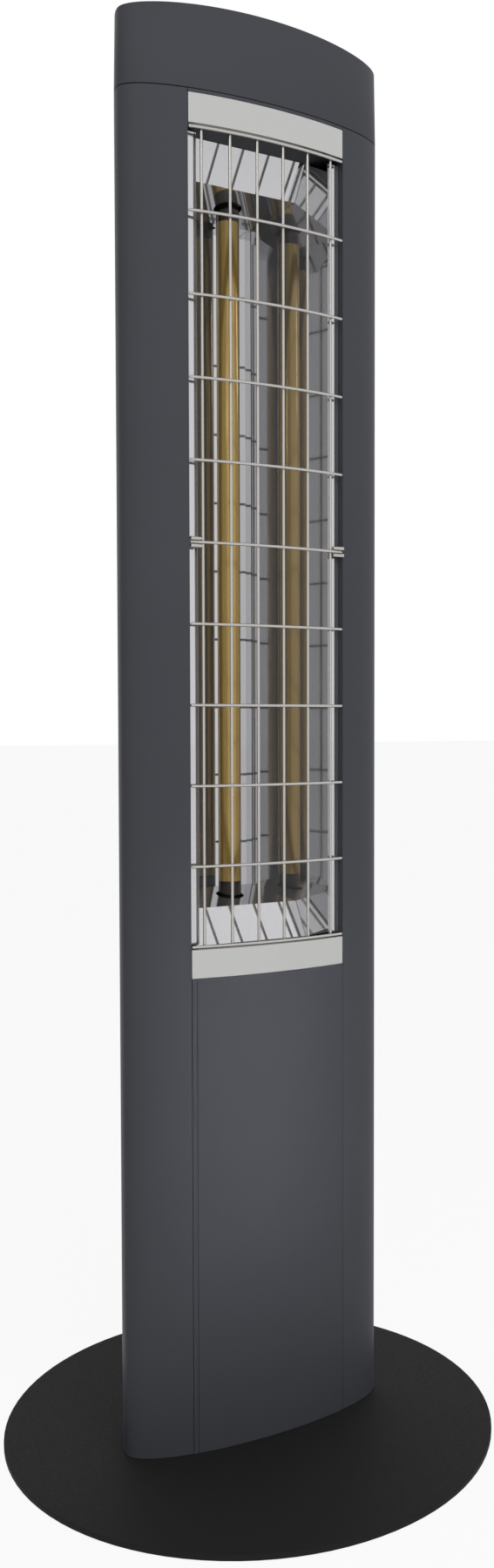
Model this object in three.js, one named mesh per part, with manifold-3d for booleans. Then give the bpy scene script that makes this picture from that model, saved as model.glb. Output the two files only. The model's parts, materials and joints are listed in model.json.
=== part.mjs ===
// Infrared patio heater tower: a round steel base, two aluminium side profiles, a cap, and one gold
// lamp in a deep polished trough behind a wire guard.
// Millimetres, +Z up. The origin is the middle of the base, at floor level. The front faces -Y.
import * as THREE from "three";
import { mergeVertices } from "three/addons/utils/BufferGeometryUtils.js";
import Module from "manifold-3d";

const wasm = await Module();
wasm.setup();

// General
const SEAT = 0.3; // gap left between pieces that touch
const SCREW_SIDES = 10;

// Base
const BASE_RADIUS = 300;
const BASE_THICKNESS = 6.2;
const BASE_CHAMFER = 0.8;
const BASE_SIDES = 96;
const PAD_HEIGHT = 1.5;
const PAD_RADIUS = 16;
const PAD_SPREAD = 190;
const BASE_BOTTOM = PAD_HEIGHT + SEAT;
const BASE_TOP = BASE_BOTTOM + BASE_THICKNESS;

// Section of the tower: half an ellipse in front, a fuller curve behind
const HALF_WIDTH = 172.3;
const SECTION_Y = -13;
const FRONT_DEPTH = 50.3;
const BACK_DEPTH = 114;
const FRONT_EXPONENT = 2;
const BACK_EXPONENT = 1.75;
const WALL = 2.5;

// Heights
const WINDOW_MIDDLE = 1080;
const WINDOW_HALF = 472.9;
const STRIP_HEIGHT = 33.6;
const BAND_HEIGHT = 4;
const CAP_SEAM = 1;
const CAP_HEIGHT = 97;
const BODY_BOTTOM = BASE_TOP + SEAT;
const STRIP_INNER = WINDOW_MIDDLE + WINDOW_HALF; // edge of the upper strip at the window
const STRIP_OUTER = STRIP_INNER + STRIP_HEIGHT;
const BODY_TOP = STRIP_OUTER + BAND_HEIGHT;
const CAP_BOTTOM = BODY_TOP + CAP_SEAM;
const CAP_TOP = CAP_BOTTOM + CAP_HEIGHT;

// Window and front
const JAMB_X = 103;
const JAMB_BACK_Y = SECTION_Y - 7;
const FRONT_HALF = JAMB_X - 0.5; // half width of the strips and the front panel
const STRIP_THICKNESS = 2.5;
const STRIP_LIP_DEPTH = 6;
const STRIP_LIP_HEIGHT = 1.7;
const WEB_THICKNESS = 1.5;
const CEILING_RISE = 4.1;
const CEILING_Z = STRIP_INNER + CEILING_RISE;
const CEILING_THICKNESS = 1.4;
const CEILING_BACK_Y = SECTION_Y + 7;
const CEILING_HALF = JAMB_X - 0.4;
const PANEL_THICKNESS = 2.5;
const GROOVE_X = 6 - JAMB_X;
const GROOVE_WIDTH = 1;
const GROOVE_DEPTH = 0.9;

// Cap
const CAP_WALL = 3;
const CAP_DRAFT = 1.4;
const CAP_CROWN = 8.8; // how much lower the arched top is at its ends
const CAP_FILLET = 2;
const CAP_SIDES = 64;
const TOP_PLATE_THICKNESS = 2;
const UPSTAND_HALF = 45;
const UPSTAND_HEIGHT = 20;
const CAP_SCREW_X = 38;
const CAP_SCREW_Z = CAP_BOTTOM + UPSTAND_HEIGHT / 2;

// Back panel and the ledge that it lies on
const BACK_HALF = 109.5;
const BACK_THICKNESS = 2;
const LEDGE_INNER_X = BACK_HALF - 17.5;
const LEDGE_OUTER_X = BACK_HALF + 3.5;
const BACK_SCREW_X = BACK_HALF - 8.5;
const BACK_SCREW_MARGIN = 51;

// Screw ports in the side profiles
const PORT_X = HALF_WIDTH - 7.5;
const PORT_RADIUS = 5.5;
const PORT_BORE = 2.3;

// Plates inside the body
const FOOT_PLATE_THICKNESS = 6;
const BASE_BOLT_X = 80;
const BASE_BOLT_FRONT_Y = -35;
const BASE_BOLT_BACK_Y = 45;
const CARRIER_THICKNESS = 2;
const CARRIER_FRONT_Y = SECTION_Y - 12;
const LEAD_HOLE_X = 125;
const LEAD_HOLE_Y = SECTION_Y + 13;
const LEAD_HOLE_RADIUS = 6;

// Reflector trough, measured on its polished side
const SHEET = 1;
const FLANK_DEPTH = 111.2;
const FACET_DEPTH = 18.9;
const FLANGE_Y = SECTION_Y - 29.9;
const FACET_Y = FLANGE_Y + FLANK_DEPTH;
const TROUGH_BACK_Y = FACET_Y + FACET_DEPTH;
const FLANGE_WIDTH = 14.8;
const MOUTH_X = JAMB_X - FLANGE_WIDTH;
const FACET_X = 52.4;
const TROUGH_BACK_X = FACET_X - 1.4;
const TROUGH_FIT = 0.45;
const SHEET_TOP = CEILING_Z - SEAT;
const SHEET_BOTTOM = 2 * WINDOW_MIDDLE - SHEET_TOP;
const FLANGE_TOP = SHEET_TOP - 9.7;
const FLANGE_BOTTOM = SHEET_BOTTOM + 8.7;
const CORNER_CUT_Z = SHEET_TOP - 18.7;
const END_FRONT_Y = SECTION_Y + 5.7;
const END_FOLD_Y = END_FRONT_Y + 16;
const END_FOLD_Z = SHEET_TOP - 43.2;
const END_BACK_Z = END_FOLD_Z - 14.8;
const NOTCH_FRONT_Y = END_FOLD_Y + 7.3;
const NOTCH_BOTTOM = END_FOLD_Z + 10.5;
const BACK_SHEET_TOP = END_BACK_Z + 7;

// Lamp
const LAMP_Y = TROUGH_BACK_Y - 36;
const SLEEVE_RADIUS = 14.2;
const SLEEVE_WALL = 1.5;
const SLEEVE_TOP = CEILING_Z - 45.6;
const LAMP_HOLE_RADIUS = SLEEVE_RADIUS + 3.3;
const QUARTZ_RADIUS = 9;
const QUARTZ_WALL = 1;
const QUARTZ_TOP = SLEEVE_TOP + 12.6;
const FILAMENT_RADIUS = 1.2;
const FILAMENT_TOP = QUARTZ_TOP - 4;
const SUPPORT_COUNT = 5;
const SUPPORT_THICKNESS = 1.2;
const SUPPORT_MARGIN = 10;
const CERAMIC_RADIUS = SLEEVE_RADIUS + 2;
const CERAMIC_TOP = QUARTZ_TOP + 6;
const SPIGOT_BOTTOM = SLEEVE_TOP - 11.4;
const WIRE_HOLE = 2.5;
const LAMP_SIDES = 20;
const BRACKET_HALF = CERAMIC_RADIUS + 6;
const BRACKET_THICKNESS = 2;
const BRACKET_Z = SLEEVE_TOP + 8.6;
const BRACKET_FRONT_Y = LAMP_Y - 24;
const BRACKET_BACK_Y = LAMP_Y + 19.5;

// Wire guard
const WIRE_RADIUS = 1.8;
const WIRE_SIDES = 8;
const UPRIGHT_PITCH = 34.3;
const UPRIGHT_COUNT = 6;
const UPRIGHT_INSET = 4.4;
const UPRIGHT_HALF = WINDOW_HALF - 2.4;
const GUARD_MIDDLE_Z = WINDOW_MIDDLE - 0.3;
const CROSS_COUNT = 11;
const CROSS_REACH = UPRIGHT_HALF - 1.2;
const CROSS_INSET = 1;
const CROSS_HALF = JAMB_X - 2.4;
const CROSS_STEPS = 8;
const CLIP_RADIUS = 2.1;
const CLIP_RISE = WIRE_RADIUS + SEAT + CLIP_RADIUS; // from the middle wire to a bar of the clip
const CLIP_INNER_X = JAMB_X - 15;
const CLIP_FORWARD = 2; // how far the bars stand in front of the middle wire's end
const CLIP_SHEET = 1.5;
const TONGUE_X = JAMB_X - 4;

// Electrical pieces
const LEAD_RADIUS = 2.2;
const LEAD_SIDES = 6;
const BLOCK_X = 70;
const BLOCK_Y = 10;
const BLOCK_LENGTH = 44;
const BLOCK_DEPTH = 20;
const BLOCK_HEIGHT = 17;
const BLOCK_POLE = 12;
const TILT_X = -70;
const TILT_WIDTH = 24;
const TILT_DEPTH = 18;
const TILT_HEIGHT = 28;
const REAR_Y = SECTION_Y + BACK_DEPTH;
const LEAD_RISE = 18; // how far a lead stands straight up from its terminal
const LEAD_TURN_Z = 110;
const LEAD_CENTRE_Z = 420;
const GLAND_Z = 60;
const GLAND_BORE = 4.5;
const GLAND_THREAD = 7.7;
const GLAND_NECK = 6;
const GLAND_HEX = 11;
const GLAND_INNER_Y = REAR_Y - 11;
const GLAND_FLANGE_DEPTH = 5.5;
const GLAND_NECK_DEPTH = 12;
const DOME_RADIUS = 9.5;
const DOME_DEPTH = 14;
const LOCK_NUT_DEPTH = 4.4;
const SWITCH_Z = 130;
const SWITCH_FLANGE_HALF_X = 11;
const SWITCH_FLANGE_HALF_Z = 14.5;
const SWITCH_FLANGE_DEPTH = 2;
const SWITCH_BODY_HALF_X = 9.5;
const SWITCH_BODY_HALF_Z = 12.5;
const SWITCH_BODY_Y = REAR_Y - 18;
const SWITCH_WELL_HALF_X = 7.6;
const SWITCH_WELL_HALF_Z = 9.9;
const SWITCH_WELL_Y = REAR_Y - 10;
const ROCKER_PIVOT_Y = REAR_Y - 1.5;
const ROCKER_HALF_X = SWITCH_WELL_HALF_X - SEAT;
const ROCKER_TILT = 10;

// Solids and booleans

function solidOf(geometry) {
  const plain = geometry.clone();
  plain.deleteAttribute("normal");
  plain.deleteAttribute("uv");
  const merged = mergeVertices(plain, 1e-4);
  const mesh = new wasm.Mesh({
    numProp: 3,
    vertProperties: new Float32Array(merged.attributes.position.array),
    triVerts: new Uint32Array(merged.index.array),
  });
  return new wasm.Manifold(mesh);
}

function geometryOf(solid) {
  const mesh = solid.getMesh();
  const geometry = new THREE.BufferGeometry();
  geometry.setAttribute("position", new THREE.BufferAttribute(mesh.vertProperties, 3));
  geometry.setIndex(new THREE.BufferAttribute(mesh.triVerts, 1));
  return geometry;
}

function join(...geometries) {
  return geometryOf(geometries.map(solidOf).reduce((all, next) => all.add(next)));
}

function cut(geometry, ...tools) {
  return geometryOf(tools.map(solidOf).reduce((left, tool) => left.subtract(tool), solidOf(geometry)));
}

function common(geometry, other) {
  return geometryOf(solidOf(geometry).intersect(solidOf(other)));
}

function mirrored(geometry, matrix) {
  const copy = mergeVertices(geometry.clone().applyMatrix4(matrix), 1e-4);
  copy.index.array.reverse();
  return copy;
}

// The same piece on the other side of the plane X = 0.
function otherSide(geometry) {
  return mirrored(geometry, new THREE.Matrix4().makeScale(-1, 1, 1));
}

// The same piece at the other end of the window.
function otherEnd(geometry) {
  const flip = new THREE.Matrix4().makeScale(1, 1, -1);
  return mirrored(geometry, flip.setPosition(0, 0, 2 * WINDOW_MIDDLE));
}

// Simple shapes

function prism(points, bottom, top) {
  const shape = new THREE.Shape(points);
  const geometry = new THREE.ExtrudeGeometry(shape, { depth: top - bottom, bevelEnabled: false });
  return geometry.translate(0, 0, bottom);
}

// A prism along X of a shape drawn in (Y, Z).
function prismX(points, halfLength) {
  const turn = new THREE.Matrix4().makeBasis(
    new THREE.Vector3(0, 1, 0),
    new THREE.Vector3(0, 0, 1),
    new THREE.Vector3(1, 0, 0),
  );
  return prism(points, -halfLength, halfLength).applyMatrix4(turn);
}

function box(left, right, front, back, bottom, top) {
  const geometry = new THREE.BoxGeometry(right - left, back - front, top - bottom);
  return geometry.translate((left + right) / 2, (front + back) / 2, (bottom + top) / 2);
}

function rod(from, to, radius, sides) {
  const along = new THREE.Vector3().subVectors(to, from);
  const geometry = new THREE.CylinderGeometry(radius, radius, along.length(), sides);
  const turn = new THREE.Quaternion();
  turn.setFromUnitVectors(new THREE.Vector3(0, 1, 0), along.clone().normalize());
  const middle = new THREE.Vector3().addVectors(from, to).multiplyScalar(0.5);
  return geometry.applyQuaternion(turn).translate(middle.x, middle.y, middle.z);
}

function upright(x, y, bottom, top, radius, sides) {
  return rod(new THREE.Vector3(x, y, bottom), new THREE.Vector3(x, y, top), radius, sides);
}

function rearRod(z, front, back, radius, sides) {
  return rod(new THREE.Vector3(0, front, z), new THREE.Vector3(0, back, z), radius, sides);
}

// A turned piece about the Z axis: pairs of radius and height, from the bottom upwards outside.
function turned(profile, sides) {
  const points = profile.map(([radius, height]) => new THREE.Vector2(radius, height));
  return new THREE.LatheGeometry(points, sides).rotateX(Math.PI / 2);
}

function tube(outer, inner, bottom, top, sides) {
  const ring = [
    [inner, bottom],
    [outer, bottom],
    [outer, top],
    [inner, top],
    [inner, bottom],
  ];
  return turned(ring, sides);
}

// A sheet that follows a folded line, with its thickness on the right of the line (or left, if negative).
function folded(points, thickness) {
  const normals = points.slice(1).map((point, i) => {
    const along = point.clone().sub(points[i]).normalize();
    return new THREE.Vector2(along.y, -along.x);
  });
  const offset = points.map((point, i) => {
    const before = normals[Math.max(i - 1, 0)];
    const after = normals[Math.min(i, normals.length - 1)];
    const mitre = before.clone().add(after).normalize();
    return point.clone().addScaledVector(mitre, thickness / mitre.dot(before));
  });
  return [...points, ...offset.reverse()];
}

function ringShape(radius, sides) {
  const points = [];
  for (let i = 0; i < sides; i++) {
    const angle = (2 * Math.PI * i) / sides;
    points.push(new THREE.Vector2(radius * Math.cos(angle), radius * Math.sin(angle)));
  }
  return new THREE.Shape(points);
}

function wire(points, radius, sides) {
  const path = new THREE.CatmullRomCurve3(points, false, "centripetal");
  const steps = 3 * (points.length - 1);
  const options = { steps, bevelEnabled: false, extrudePath: path };
  return new THREE.ExtrudeGeometry(ringShape(radius, sides), options);
}

// The tower's section

function sectionPoint(angle) {
  const inFront = Math.sin(angle) < 0;
  const power = 2 / (inFront ? FRONT_EXPONENT : BACK_EXPONENT);
  const depth = inFront ? FRONT_DEPTH : BACK_DEPTH;
  const across = Math.cos(angle);
  const deep = Math.sin(angle);
  const x = HALF_WIDTH * Math.sign(across) * Math.abs(across) ** power;
  const y = SECTION_Y + depth * Math.sign(deep) * Math.abs(deep) ** power;
  return new THREE.Vector2(x, y);
}

function inwards(angle) {
  const step = 0.01;
  const along = sectionPoint(angle + step).sub(sectionPoint(angle - step)).normalize();
  return new THREE.Vector2(-along.y, along.x);
}

function insetPoint(angle, inset) {
  return sectionPoint(angle).addScaledVector(inwards(angle), inset);
}

// The angle at which the inset section passes a given X, in front (side -1) or behind (side 1).
function angleAt(x, inset, side) {
  let outer = 0.001;
  let inner = Math.PI / 2;
  for (let i = 0; i < 40; i++) {
    const middle = (outer + inner) / 2;
    if (insetPoint(side * middle, inset).x > x) outer = middle;
    else inner = middle;
  }
  return side * outer;
}

// Points of the inset section from one X to another, in front or behind.
function arc(from, to, inset, side, steps) {
  const points = [];
  for (let i = 0; i <= steps; i++) {
    const x = from + ((to - from) * i) / steps;
    const point = insetPoint(angleAt(Math.abs(x), inset, side), inset);
    point.x *= Math.sign(x) || 1;
    points.push(point);
  }
  return points;
}

// Points of the inset section round the right-hand side, from an X in front to an X behind.
function sideArc(frontX, backX, inset, steps) {
  const start = angleAt(frontX, inset, -1);
  const end = angleAt(backX, inset, 1);
  const points = [];
  for (let i = 0; i <= steps; i++) points.push(insetPoint(start + ((end - start) * i) / steps, inset));
  return points;
}

function outline(inset, count) {
  const points = [];
  for (let i = 0; i < count; i++) points.push(insetPoint((2 * Math.PI * (i + 0.5)) / count, inset));
  return points;
}

// A curved plate between two insets of the front or the back.
function curvedPlate(half, outer, inner, side, bottom, top) {
  const steps = 16;
  const points = [...arc(-half, half, outer, side, steps), ...arc(half, -half, inner, side, steps)];
  return prism(points, bottom, top);
}

// A solid through a stack of rings of equal length. Each ring is symmetrical about the X axis, and each
// end is closed by strips from its front half to its back half.
function loft(rings) {
  const count = rings[0].length;
  const positions = rings.flat().flatMap((point) => [point.x, point.y, point.z]);
  const index = [];
  for (let k = 0; k < rings.length - 1; k++) {
    for (let i = 0; i < count; i++) {
      const a = k * count + i;
      const b = k * count + ((i + 1) % count);
      index.push(a, b, b + count, a, b + count, a + count);
    }
  }
  const last = (rings.length - 1) * count;
  for (let i = 0; i < count / 2 - 1; i++) {
    const a = i;
    const b = i + 1;
    const c = count - 2 - i;
    const d = count - 1 - i;
    index.push(a, c, b, a, d, c);
    index.push(last + a, last + b, last + c, last + a, last + c, last + d);
  }
  const geometry = new THREE.BufferGeometry();
  geometry.setAttribute("position", new THREE.Float32BufferAttribute(positions, 3));
  geometry.setIndex(index);
  return geometry;
}

// Materials

function look(colour, roughness, metalness) {
  return new THREE.MeshStandardMaterial({ color: colour, roughness, metalness });
}

const ANTHRACITE = look("#464a4e", 0.5, 0.4);
const BLACK_STEEL = look("#252527", 0.7, 0.3);
const SATIN = look("#bdbdbc", 0.4, 0.9);
const POLISHED = look("#c6c8cc", 0.1, 1);
const GOLD = look("#a08a52", 0.25, 0.8);
const BRIGHT_WIRE = look("#c8c6c4", 0.25, 1);
const ZINC = look("#a3a6aa", 0.4, 0.9);
const CERAMIC = look("#e6e2d8", 0.7, 0);
const QUARTZ = look("#e6ecef", 0.05, 0);
const TUNGSTEN = look("#75726c", 0.4, 0.9);
const BLACK_PLASTIC = look("#1c1c1e", 0.5, 0);
const RUBBER = look("#17171a", 0.85, 0);
const SILICONE = look("#a7452c", 0.6, 0);
const IVORY = look("#d9d4c4", 0.5, 0);

const heater = new THREE.Group();

function add(name, geometry, material) {
  const mesh = new THREE.Mesh(geometry, material);
  mesh.name = name;
  heater.add(mesh);
}

// Screws

// A countersunk screw, head down. The clearance widens it all round, which makes the hole for it.
function countersunk(headRadius, headHeight, radius, bottom, top, clearance) {
  const profile = [
    [0, bottom - clearance],
    [headRadius + clearance, bottom - clearance],
    [headRadius + clearance, bottom],
    [radius + clearance, bottom + headHeight],
    [radius + clearance, top + clearance],
    [0, top + clearance],
  ];
  if (clearance === 0) profile.splice(1, 1);
  return turned(profile, SCREW_SIDES);
}

// A pan-head screw along Z, with the surface under its head at height 0.
function panScrew(headRadius, radius, length) {
  const profile = [
    [0, -length],
    [radius, -length],
    [radius, SEAT],
    [headRadius, SEAT],
    [headRadius, 1.5],
    [0.65 * headRadius, 2.4],
    [0, 2.4],
  ];
  return turned(profile, SCREW_SIDES);
}

// Moves a piece drawn along Z to the back of the section at a given X, pointing outwards.
function atBack(geometry, x, z) {
  const angle = angleAt(Math.abs(x), 0, 1);
  const point = sectionPoint(angle);
  const outwards = inwards(angle).negate();
  const sign = Math.sign(x);
  const direction = new THREE.Vector3(sign * outwards.x, outwards.y, 0);
  const turn = new THREE.Quaternion().setFromUnitVectors(new THREE.Vector3(0, 0, 1), direction);
  return geometry.applyQuaternion(turn).translate(sign * point.x, point.y, z);
}

function backScrewHole(x, z) {
  return atBack(upright(0, 0, -12, 6, 1.8, SCREW_SIDES), x, z);
}

function addBackScrew(name, x, z) {
  add(name, atBack(panScrew(3.5, 1.5, 8), x, z), ZINC);
}

// Base: a steel disc on rubber pads

const boltSpots = [
  [-BASE_BOLT_X, BASE_BOLT_FRONT_Y],
  [BASE_BOLT_X, BASE_BOLT_FRONT_Y],
  [-BASE_BOLT_X, BASE_BOLT_BACK_Y],
  [BASE_BOLT_X, BASE_BOLT_BACK_Y],
];
const FOOT_BOTTOM = BASE_TOP + SEAT;
const FOOT_TOP = FOOT_BOTTOM + FOOT_PLATE_THICKNESS;

function baseBolt(clearance) {
  return countersunk(8, 4, 4, BASE_BOTTOM + 0.2, FOOT_TOP - 0.2, clearance);
}

function buildBase() {
  const profile = [
    [0, BASE_BOTTOM],
    [BASE_RADIUS, BASE_BOTTOM],
    [BASE_RADIUS, BASE_TOP - BASE_CHAMFER],
    [BASE_RADIUS - BASE_CHAMFER, BASE_TOP],
    [0, BASE_TOP],
  ];
  const holes = boltSpots.map(([x, y]) => baseBolt(SEAT).translate(x, y, 0));
  add("base_plate", cut(turned(profile, BASE_SIDES), ...holes), BLACK_STEEL);
  boltSpots.forEach(([x, y], i) => {
    add("base_bolt_" + (i + 1), baseBolt(0).translate(x, y, 0), ZINC);
    const padX = Math.sign(x) * PAD_SPREAD;
    const padY = (i < 2 ? -1 : 1) * PAD_SPREAD;
    add("foot_pad_" + (i + 1), upright(padX, padY, 0, PAD_HEIGHT, PAD_RADIUS, 20), RUBBER);
  });
}

// Side profiles: one extrusion with the window's jamb, the ledge for the back panel and a screw port

const BACK_SCREW_HEIGHTS = [BODY_BOTTOM + BACK_SCREW_MARGIN, BODY_TOP - BACK_SCREW_MARGIN];

function rightProfile() {
  const ledgeOuter = BACK_THICKNESS + SEAT;
  const ledgeInner = ledgeOuter + WALL;
  const points = [
    ...sideArc(JAMB_X, BACK_HALF + SEAT, 0, 22),
    ...arc(BACK_HALF + SEAT, LEDGE_INNER_X, ledgeOuter, 1, 3),
    ...arc(LEDGE_INNER_X, LEDGE_OUTER_X, ledgeInner, 1, 3),
    ...sideArc(JAMB_X + WALL, LEDGE_OUTER_X, WALL, 20).reverse(),
    new THREE.Vector2(JAMB_X + WALL, JAMB_BACK_Y),
    new THREE.Vector2(JAMB_X, JAMB_BACK_Y),
  ];
  const shell = prism(points, BODY_BOTTOM, BODY_TOP);
  const port = upright(PORT_X, SECTION_Y, FOOT_TOP + SEAT, BODY_TOP, PORT_RADIUS, 16);
  const bore = upright(PORT_X, SECTION_Y, FOOT_TOP, BODY_TOP + 1, PORT_BORE, SCREW_SIDES);
  const screws = BACK_SCREW_HEIGHTS.map((z) => backScrewHole(BACK_SCREW_X, z));
  return cut(join(shell, port), bore, ...screws);
}

function buildProfiles() {
  const right = rightProfile();
  add("right_side_profile", right, ANTHRACITE);
  add("left_side_profile", otherSide(right), ANTHRACITE);
}

// Plates that fit inside the two profiles

// The room that the jambs, the ledges and the ports take from such a plate.
function profileRoom(bottom, top) {
  const jambRight = JAMB_X + WALL + SEAT;
  const ledgeRight = LEDGE_OUTER_X + 3;
  const ledgeInset = BACK_THICKNESS + 2 * WALL;
  const [ledgeFront] = arc(ledgeRight, ledgeRight, ledgeInset, 1, 1);
  const right = [
    box(JAMB_X - SEAT, jambRight, SECTION_Y - FRONT_DEPTH, JAMB_BACK_Y + SEAT, bottom - 1, top + 1),
    box(LEDGE_INNER_X - 1, ledgeRight, ledgeFront.y, REAR_Y, bottom - 1, top + 1),
  ];
  return [...right, ...right.map(otherSide)];
}

function innerPlate(bottom, top) {
  const plate = prism(outline(WALL + SEAT, 56), bottom, top);
  return cut(plate, ...profileRoom(bottom, top));
}

function profileScrew(clearance) {
  return countersunk(3.6, 2, 2, FOOT_BOTTOM + 0.3, FOOT_TOP + 24, clearance);
}

function buildFootPlate() {
  const holes = boltSpots.map(([x, y]) => baseBolt(SEAT).translate(x, y, 0));
  const screws = [-PORT_X, PORT_X].map((x) => profileScrew(SEAT).translate(x, SECTION_Y, 0));
  add("foot_plate", cut(innerPlate(FOOT_BOTTOM, FOOT_TOP), ...holes, ...screws), ZINC);
  add("profile_screw_lower_left", profileScrew(0).translate(-PORT_X, SECTION_Y, 0), ZINC);
  add("profile_screw_lower_right", profileScrew(0).translate(PORT_X, SECTION_Y, 0), ZINC);
}

const CARRIER_Z = CEILING_Z + CEILING_THICKNESS + SEAT;

function carrier() {
  const top = CARRIER_Z + CARRIER_THICKNESS;
  const reach = 1.2 * HALF_WIDTH;
  const frontReach = SECTION_Y - 1.5 * FRONT_DEPTH;
  const front = box(-reach, reach, frontReach, CARRIER_FRONT_Y, CARRIER_Z - 1, top + 1);
  const ports = [-PORT_X, PORT_X].map((x) =>
    upright(x, SECTION_Y, CARRIER_Z - 1, top + 1, PORT_RADIUS + SEAT, 16),
  );
  const sideTips = [-PORT_X, PORT_X].map((x) =>
    box(x - 6, x + 12, SECTION_Y - 20, SECTION_Y + 20, CARRIER_Z - 1, top + 1),
  );
  const side = upright(LEAD_HOLE_X, LEAD_HOLE_Y, CARRIER_Z - 1, top + 1, LEAD_HOLE_RADIUS, 16);
  const middle = upright(0, LAMP_Y, CARRIER_Z - 1, top + 1, LEAD_HOLE_RADIUS, 16);
  return cut(innerPlate(CARRIER_Z, top), front, ...ports, ...sideTips, side, middle);
}

function buildCarriers() {
  add("upper_carrier", carrier(), ZINC);
  add("lower_carrier", otherEnd(carrier()), ZINC);
}

// Cap and the plate that it is screwed to

function flatRing(inset, z) {
  return outline(inset, CAP_SIDES).map((point) => new THREE.Vector3(point.x, point.y, z));
}

// A ring that follows the arched top of the cap, at a depth under it.
function archedRing(inset, depth) {
  return outline(inset, CAP_SIDES).map((point) => {
    const drop = CAP_CROWN * (point.x / HALF_WIDTH) ** 2;
    return new THREE.Vector3(point.x, point.y, CAP_TOP - drop - depth);
  });
}

function capShell() {
  const rings = [flatRing(0, CAP_BOTTOM)];
  for (let i = 0; i <= 3; i++) {
    const turn = (i * Math.PI) / 6;
    const inset = CAP_DRAFT + CAP_FILLET * (1 - Math.cos(turn));
    rings.push(archedRing(inset, CAP_FILLET * (1 - Math.sin(turn))));
  }
  const hollow = [flatRing(CAP_WALL, CAP_BOTTOM - 1), archedRing(CAP_WALL + CAP_DRAFT, CAP_WALL)];
  return cut(loft(rings), loft(hollow));
}

function buildCap() {
  const holes = [-CAP_SCREW_X, CAP_SCREW_X].map((x) => backScrewHole(x, CAP_SCREW_Z));
  add("top_cap", cut(capShell(), ...holes), ANTHRACITE);
  const bottom = BODY_TOP + SEAT;
  const top = bottom + TOP_PLATE_THICKNESS;
  const plate = prism(outline(CAP_WALL + SEAT, CAP_SIDES), bottom, top);
  const [corner] = arc(UPSTAND_HALF, UPSTAND_HALF, CAP_WALL + 2 * SEAT, 1, 1);
  const upstandFront = corner.y - TOP_PLATE_THICKNESS;
  const upstand = box(-UPSTAND_HALF, UPSTAND_HALF, upstandFront, corner.y, bottom, top + UPSTAND_HEIGHT);
  const ports = [-PORT_X, PORT_X].map((x) =>
    upright(x, SECTION_Y, bottom - 1, top + 1, PORT_BORE, SCREW_SIDES),
  );
  add("top_plate", cut(join(plate, upstand), ...holes, ...ports), ZINC);
  addBackScrew("cap_screw_left", -CAP_SCREW_X, CAP_SCREW_Z);
  addBackScrew("cap_screw_right", CAP_SCREW_X, CAP_SCREW_Z);
  add("profile_screw_upper_left", panScrew(4, 2, 22).translate(-PORT_X, SECTION_Y, top), ZINC);
  add("profile_screw_upper_right", panScrew(4, 2, 22).translate(PORT_X, SECTION_Y, top), ZINC);
}

// Front: the panel under the window, the strips, and the folded header and sill behind them

function frontPanel() {
  const notchLeft = GROOVE_X - GROOVE_WIDTH / 2;
  const notchRight = GROOVE_X + GROOVE_WIDTH / 2;
  const points = [
    ...arc(-FRONT_HALF, notchLeft, 0, -1, 1),
    ...arc(notchLeft, notchRight, GROOVE_DEPTH, -1, 1),
    ...arc(notchRight, FRONT_HALF, 0, -1, 16),
    ...arc(FRONT_HALF, -FRONT_HALF, PANEL_THICKNESS, -1, 16),
  ];
  const top = 2 * WINDOW_MIDDLE - STRIP_OUTER - SEAT;
  return prism(points, BODY_BOTTOM, top);
}

function strip() {
  const plate = curvedPlate(FRONT_HALF, 0, STRIP_THICKNESS, -1, STRIP_INNER, STRIP_OUTER);
  const lipTop = STRIP_INNER + STRIP_LIP_HEIGHT;
  return join(plate, curvedPlate(FRONT_HALF, 0, STRIP_LIP_DEPTH, -1, STRIP_INNER, lipTop));
}

// The sheet behind a strip, with a flat part that goes back over the trough.
function header() {
  const outer = STRIP_THICKNESS + SEAT;
  const inner = outer + WEB_THICKNESS;
  const bottom = STRIP_INNER + STRIP_LIP_HEIGHT + SEAT;
  const web = curvedPlate(FRONT_HALF, outer, inner, -1, bottom, BODY_TOP);
  const points = [
    ...arc(-CEILING_HALF, CEILING_HALF, outer, -1, 16),
    new THREE.Vector2(CEILING_HALF, CEILING_BACK_Y),
    new THREE.Vector2(-CEILING_HALF, CEILING_BACK_Y),
  ];
  return join(web, prism(points, CEILING_Z, CEILING_Z + CEILING_THICKNESS));
}

function buildFront() {
  add("front_panel", frontPanel(), ANTHRACITE);
  add("upper_trim_strip", strip(), SATIN);
  add("lower_trim_strip", otherEnd(strip()), SATIN);
  const bandInner = STRIP_THICKNESS + SEAT + WEB_THICKNESS;
  const band = curvedPlate(FRONT_HALF, 0, bandInner, -1, STRIP_OUTER + SEAT, BODY_TOP);
  add("window_header", join(header(), band), ANTHRACITE);
  add("window_sill", otherEnd(header()), ANTHRACITE);
}

// Back panel, gland and mains switch

function buildBack() {
  const panel = curvedPlate(BACK_HALF, 0, BACK_THICKNESS, 1, BODY_BOTTOM, BODY_TOP);
  const spots = BACK_SCREW_HEIGHTS.flatMap((z) => [
    [-BACK_SCREW_X, z],
    [BACK_SCREW_X, z],
  ]);
  const holes = spots.map(([x, z]) => backScrewHole(x, z));
  const glandHole = rearRod(GLAND_Z, REAR_Y - 10, REAR_Y + 5, GLAND_THREAD + SEAT, 16);
  const slotX = SWITCH_BODY_HALF_X + SEAT;
  const slotZ = SWITCH_BODY_HALF_Z + SEAT;
  const slot = box(-slotX, slotX, REAR_Y - 10, REAR_Y + 5, SWITCH_Z - slotZ, SWITCH_Z + slotZ);
  add("back_panel", cut(panel, ...holes, glandHole, slot), ANTHRACITE);
  spots.forEach(([x, z], i) => addBackScrew("back_panel_screw_" + (i + 1), x, z));
}

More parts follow.
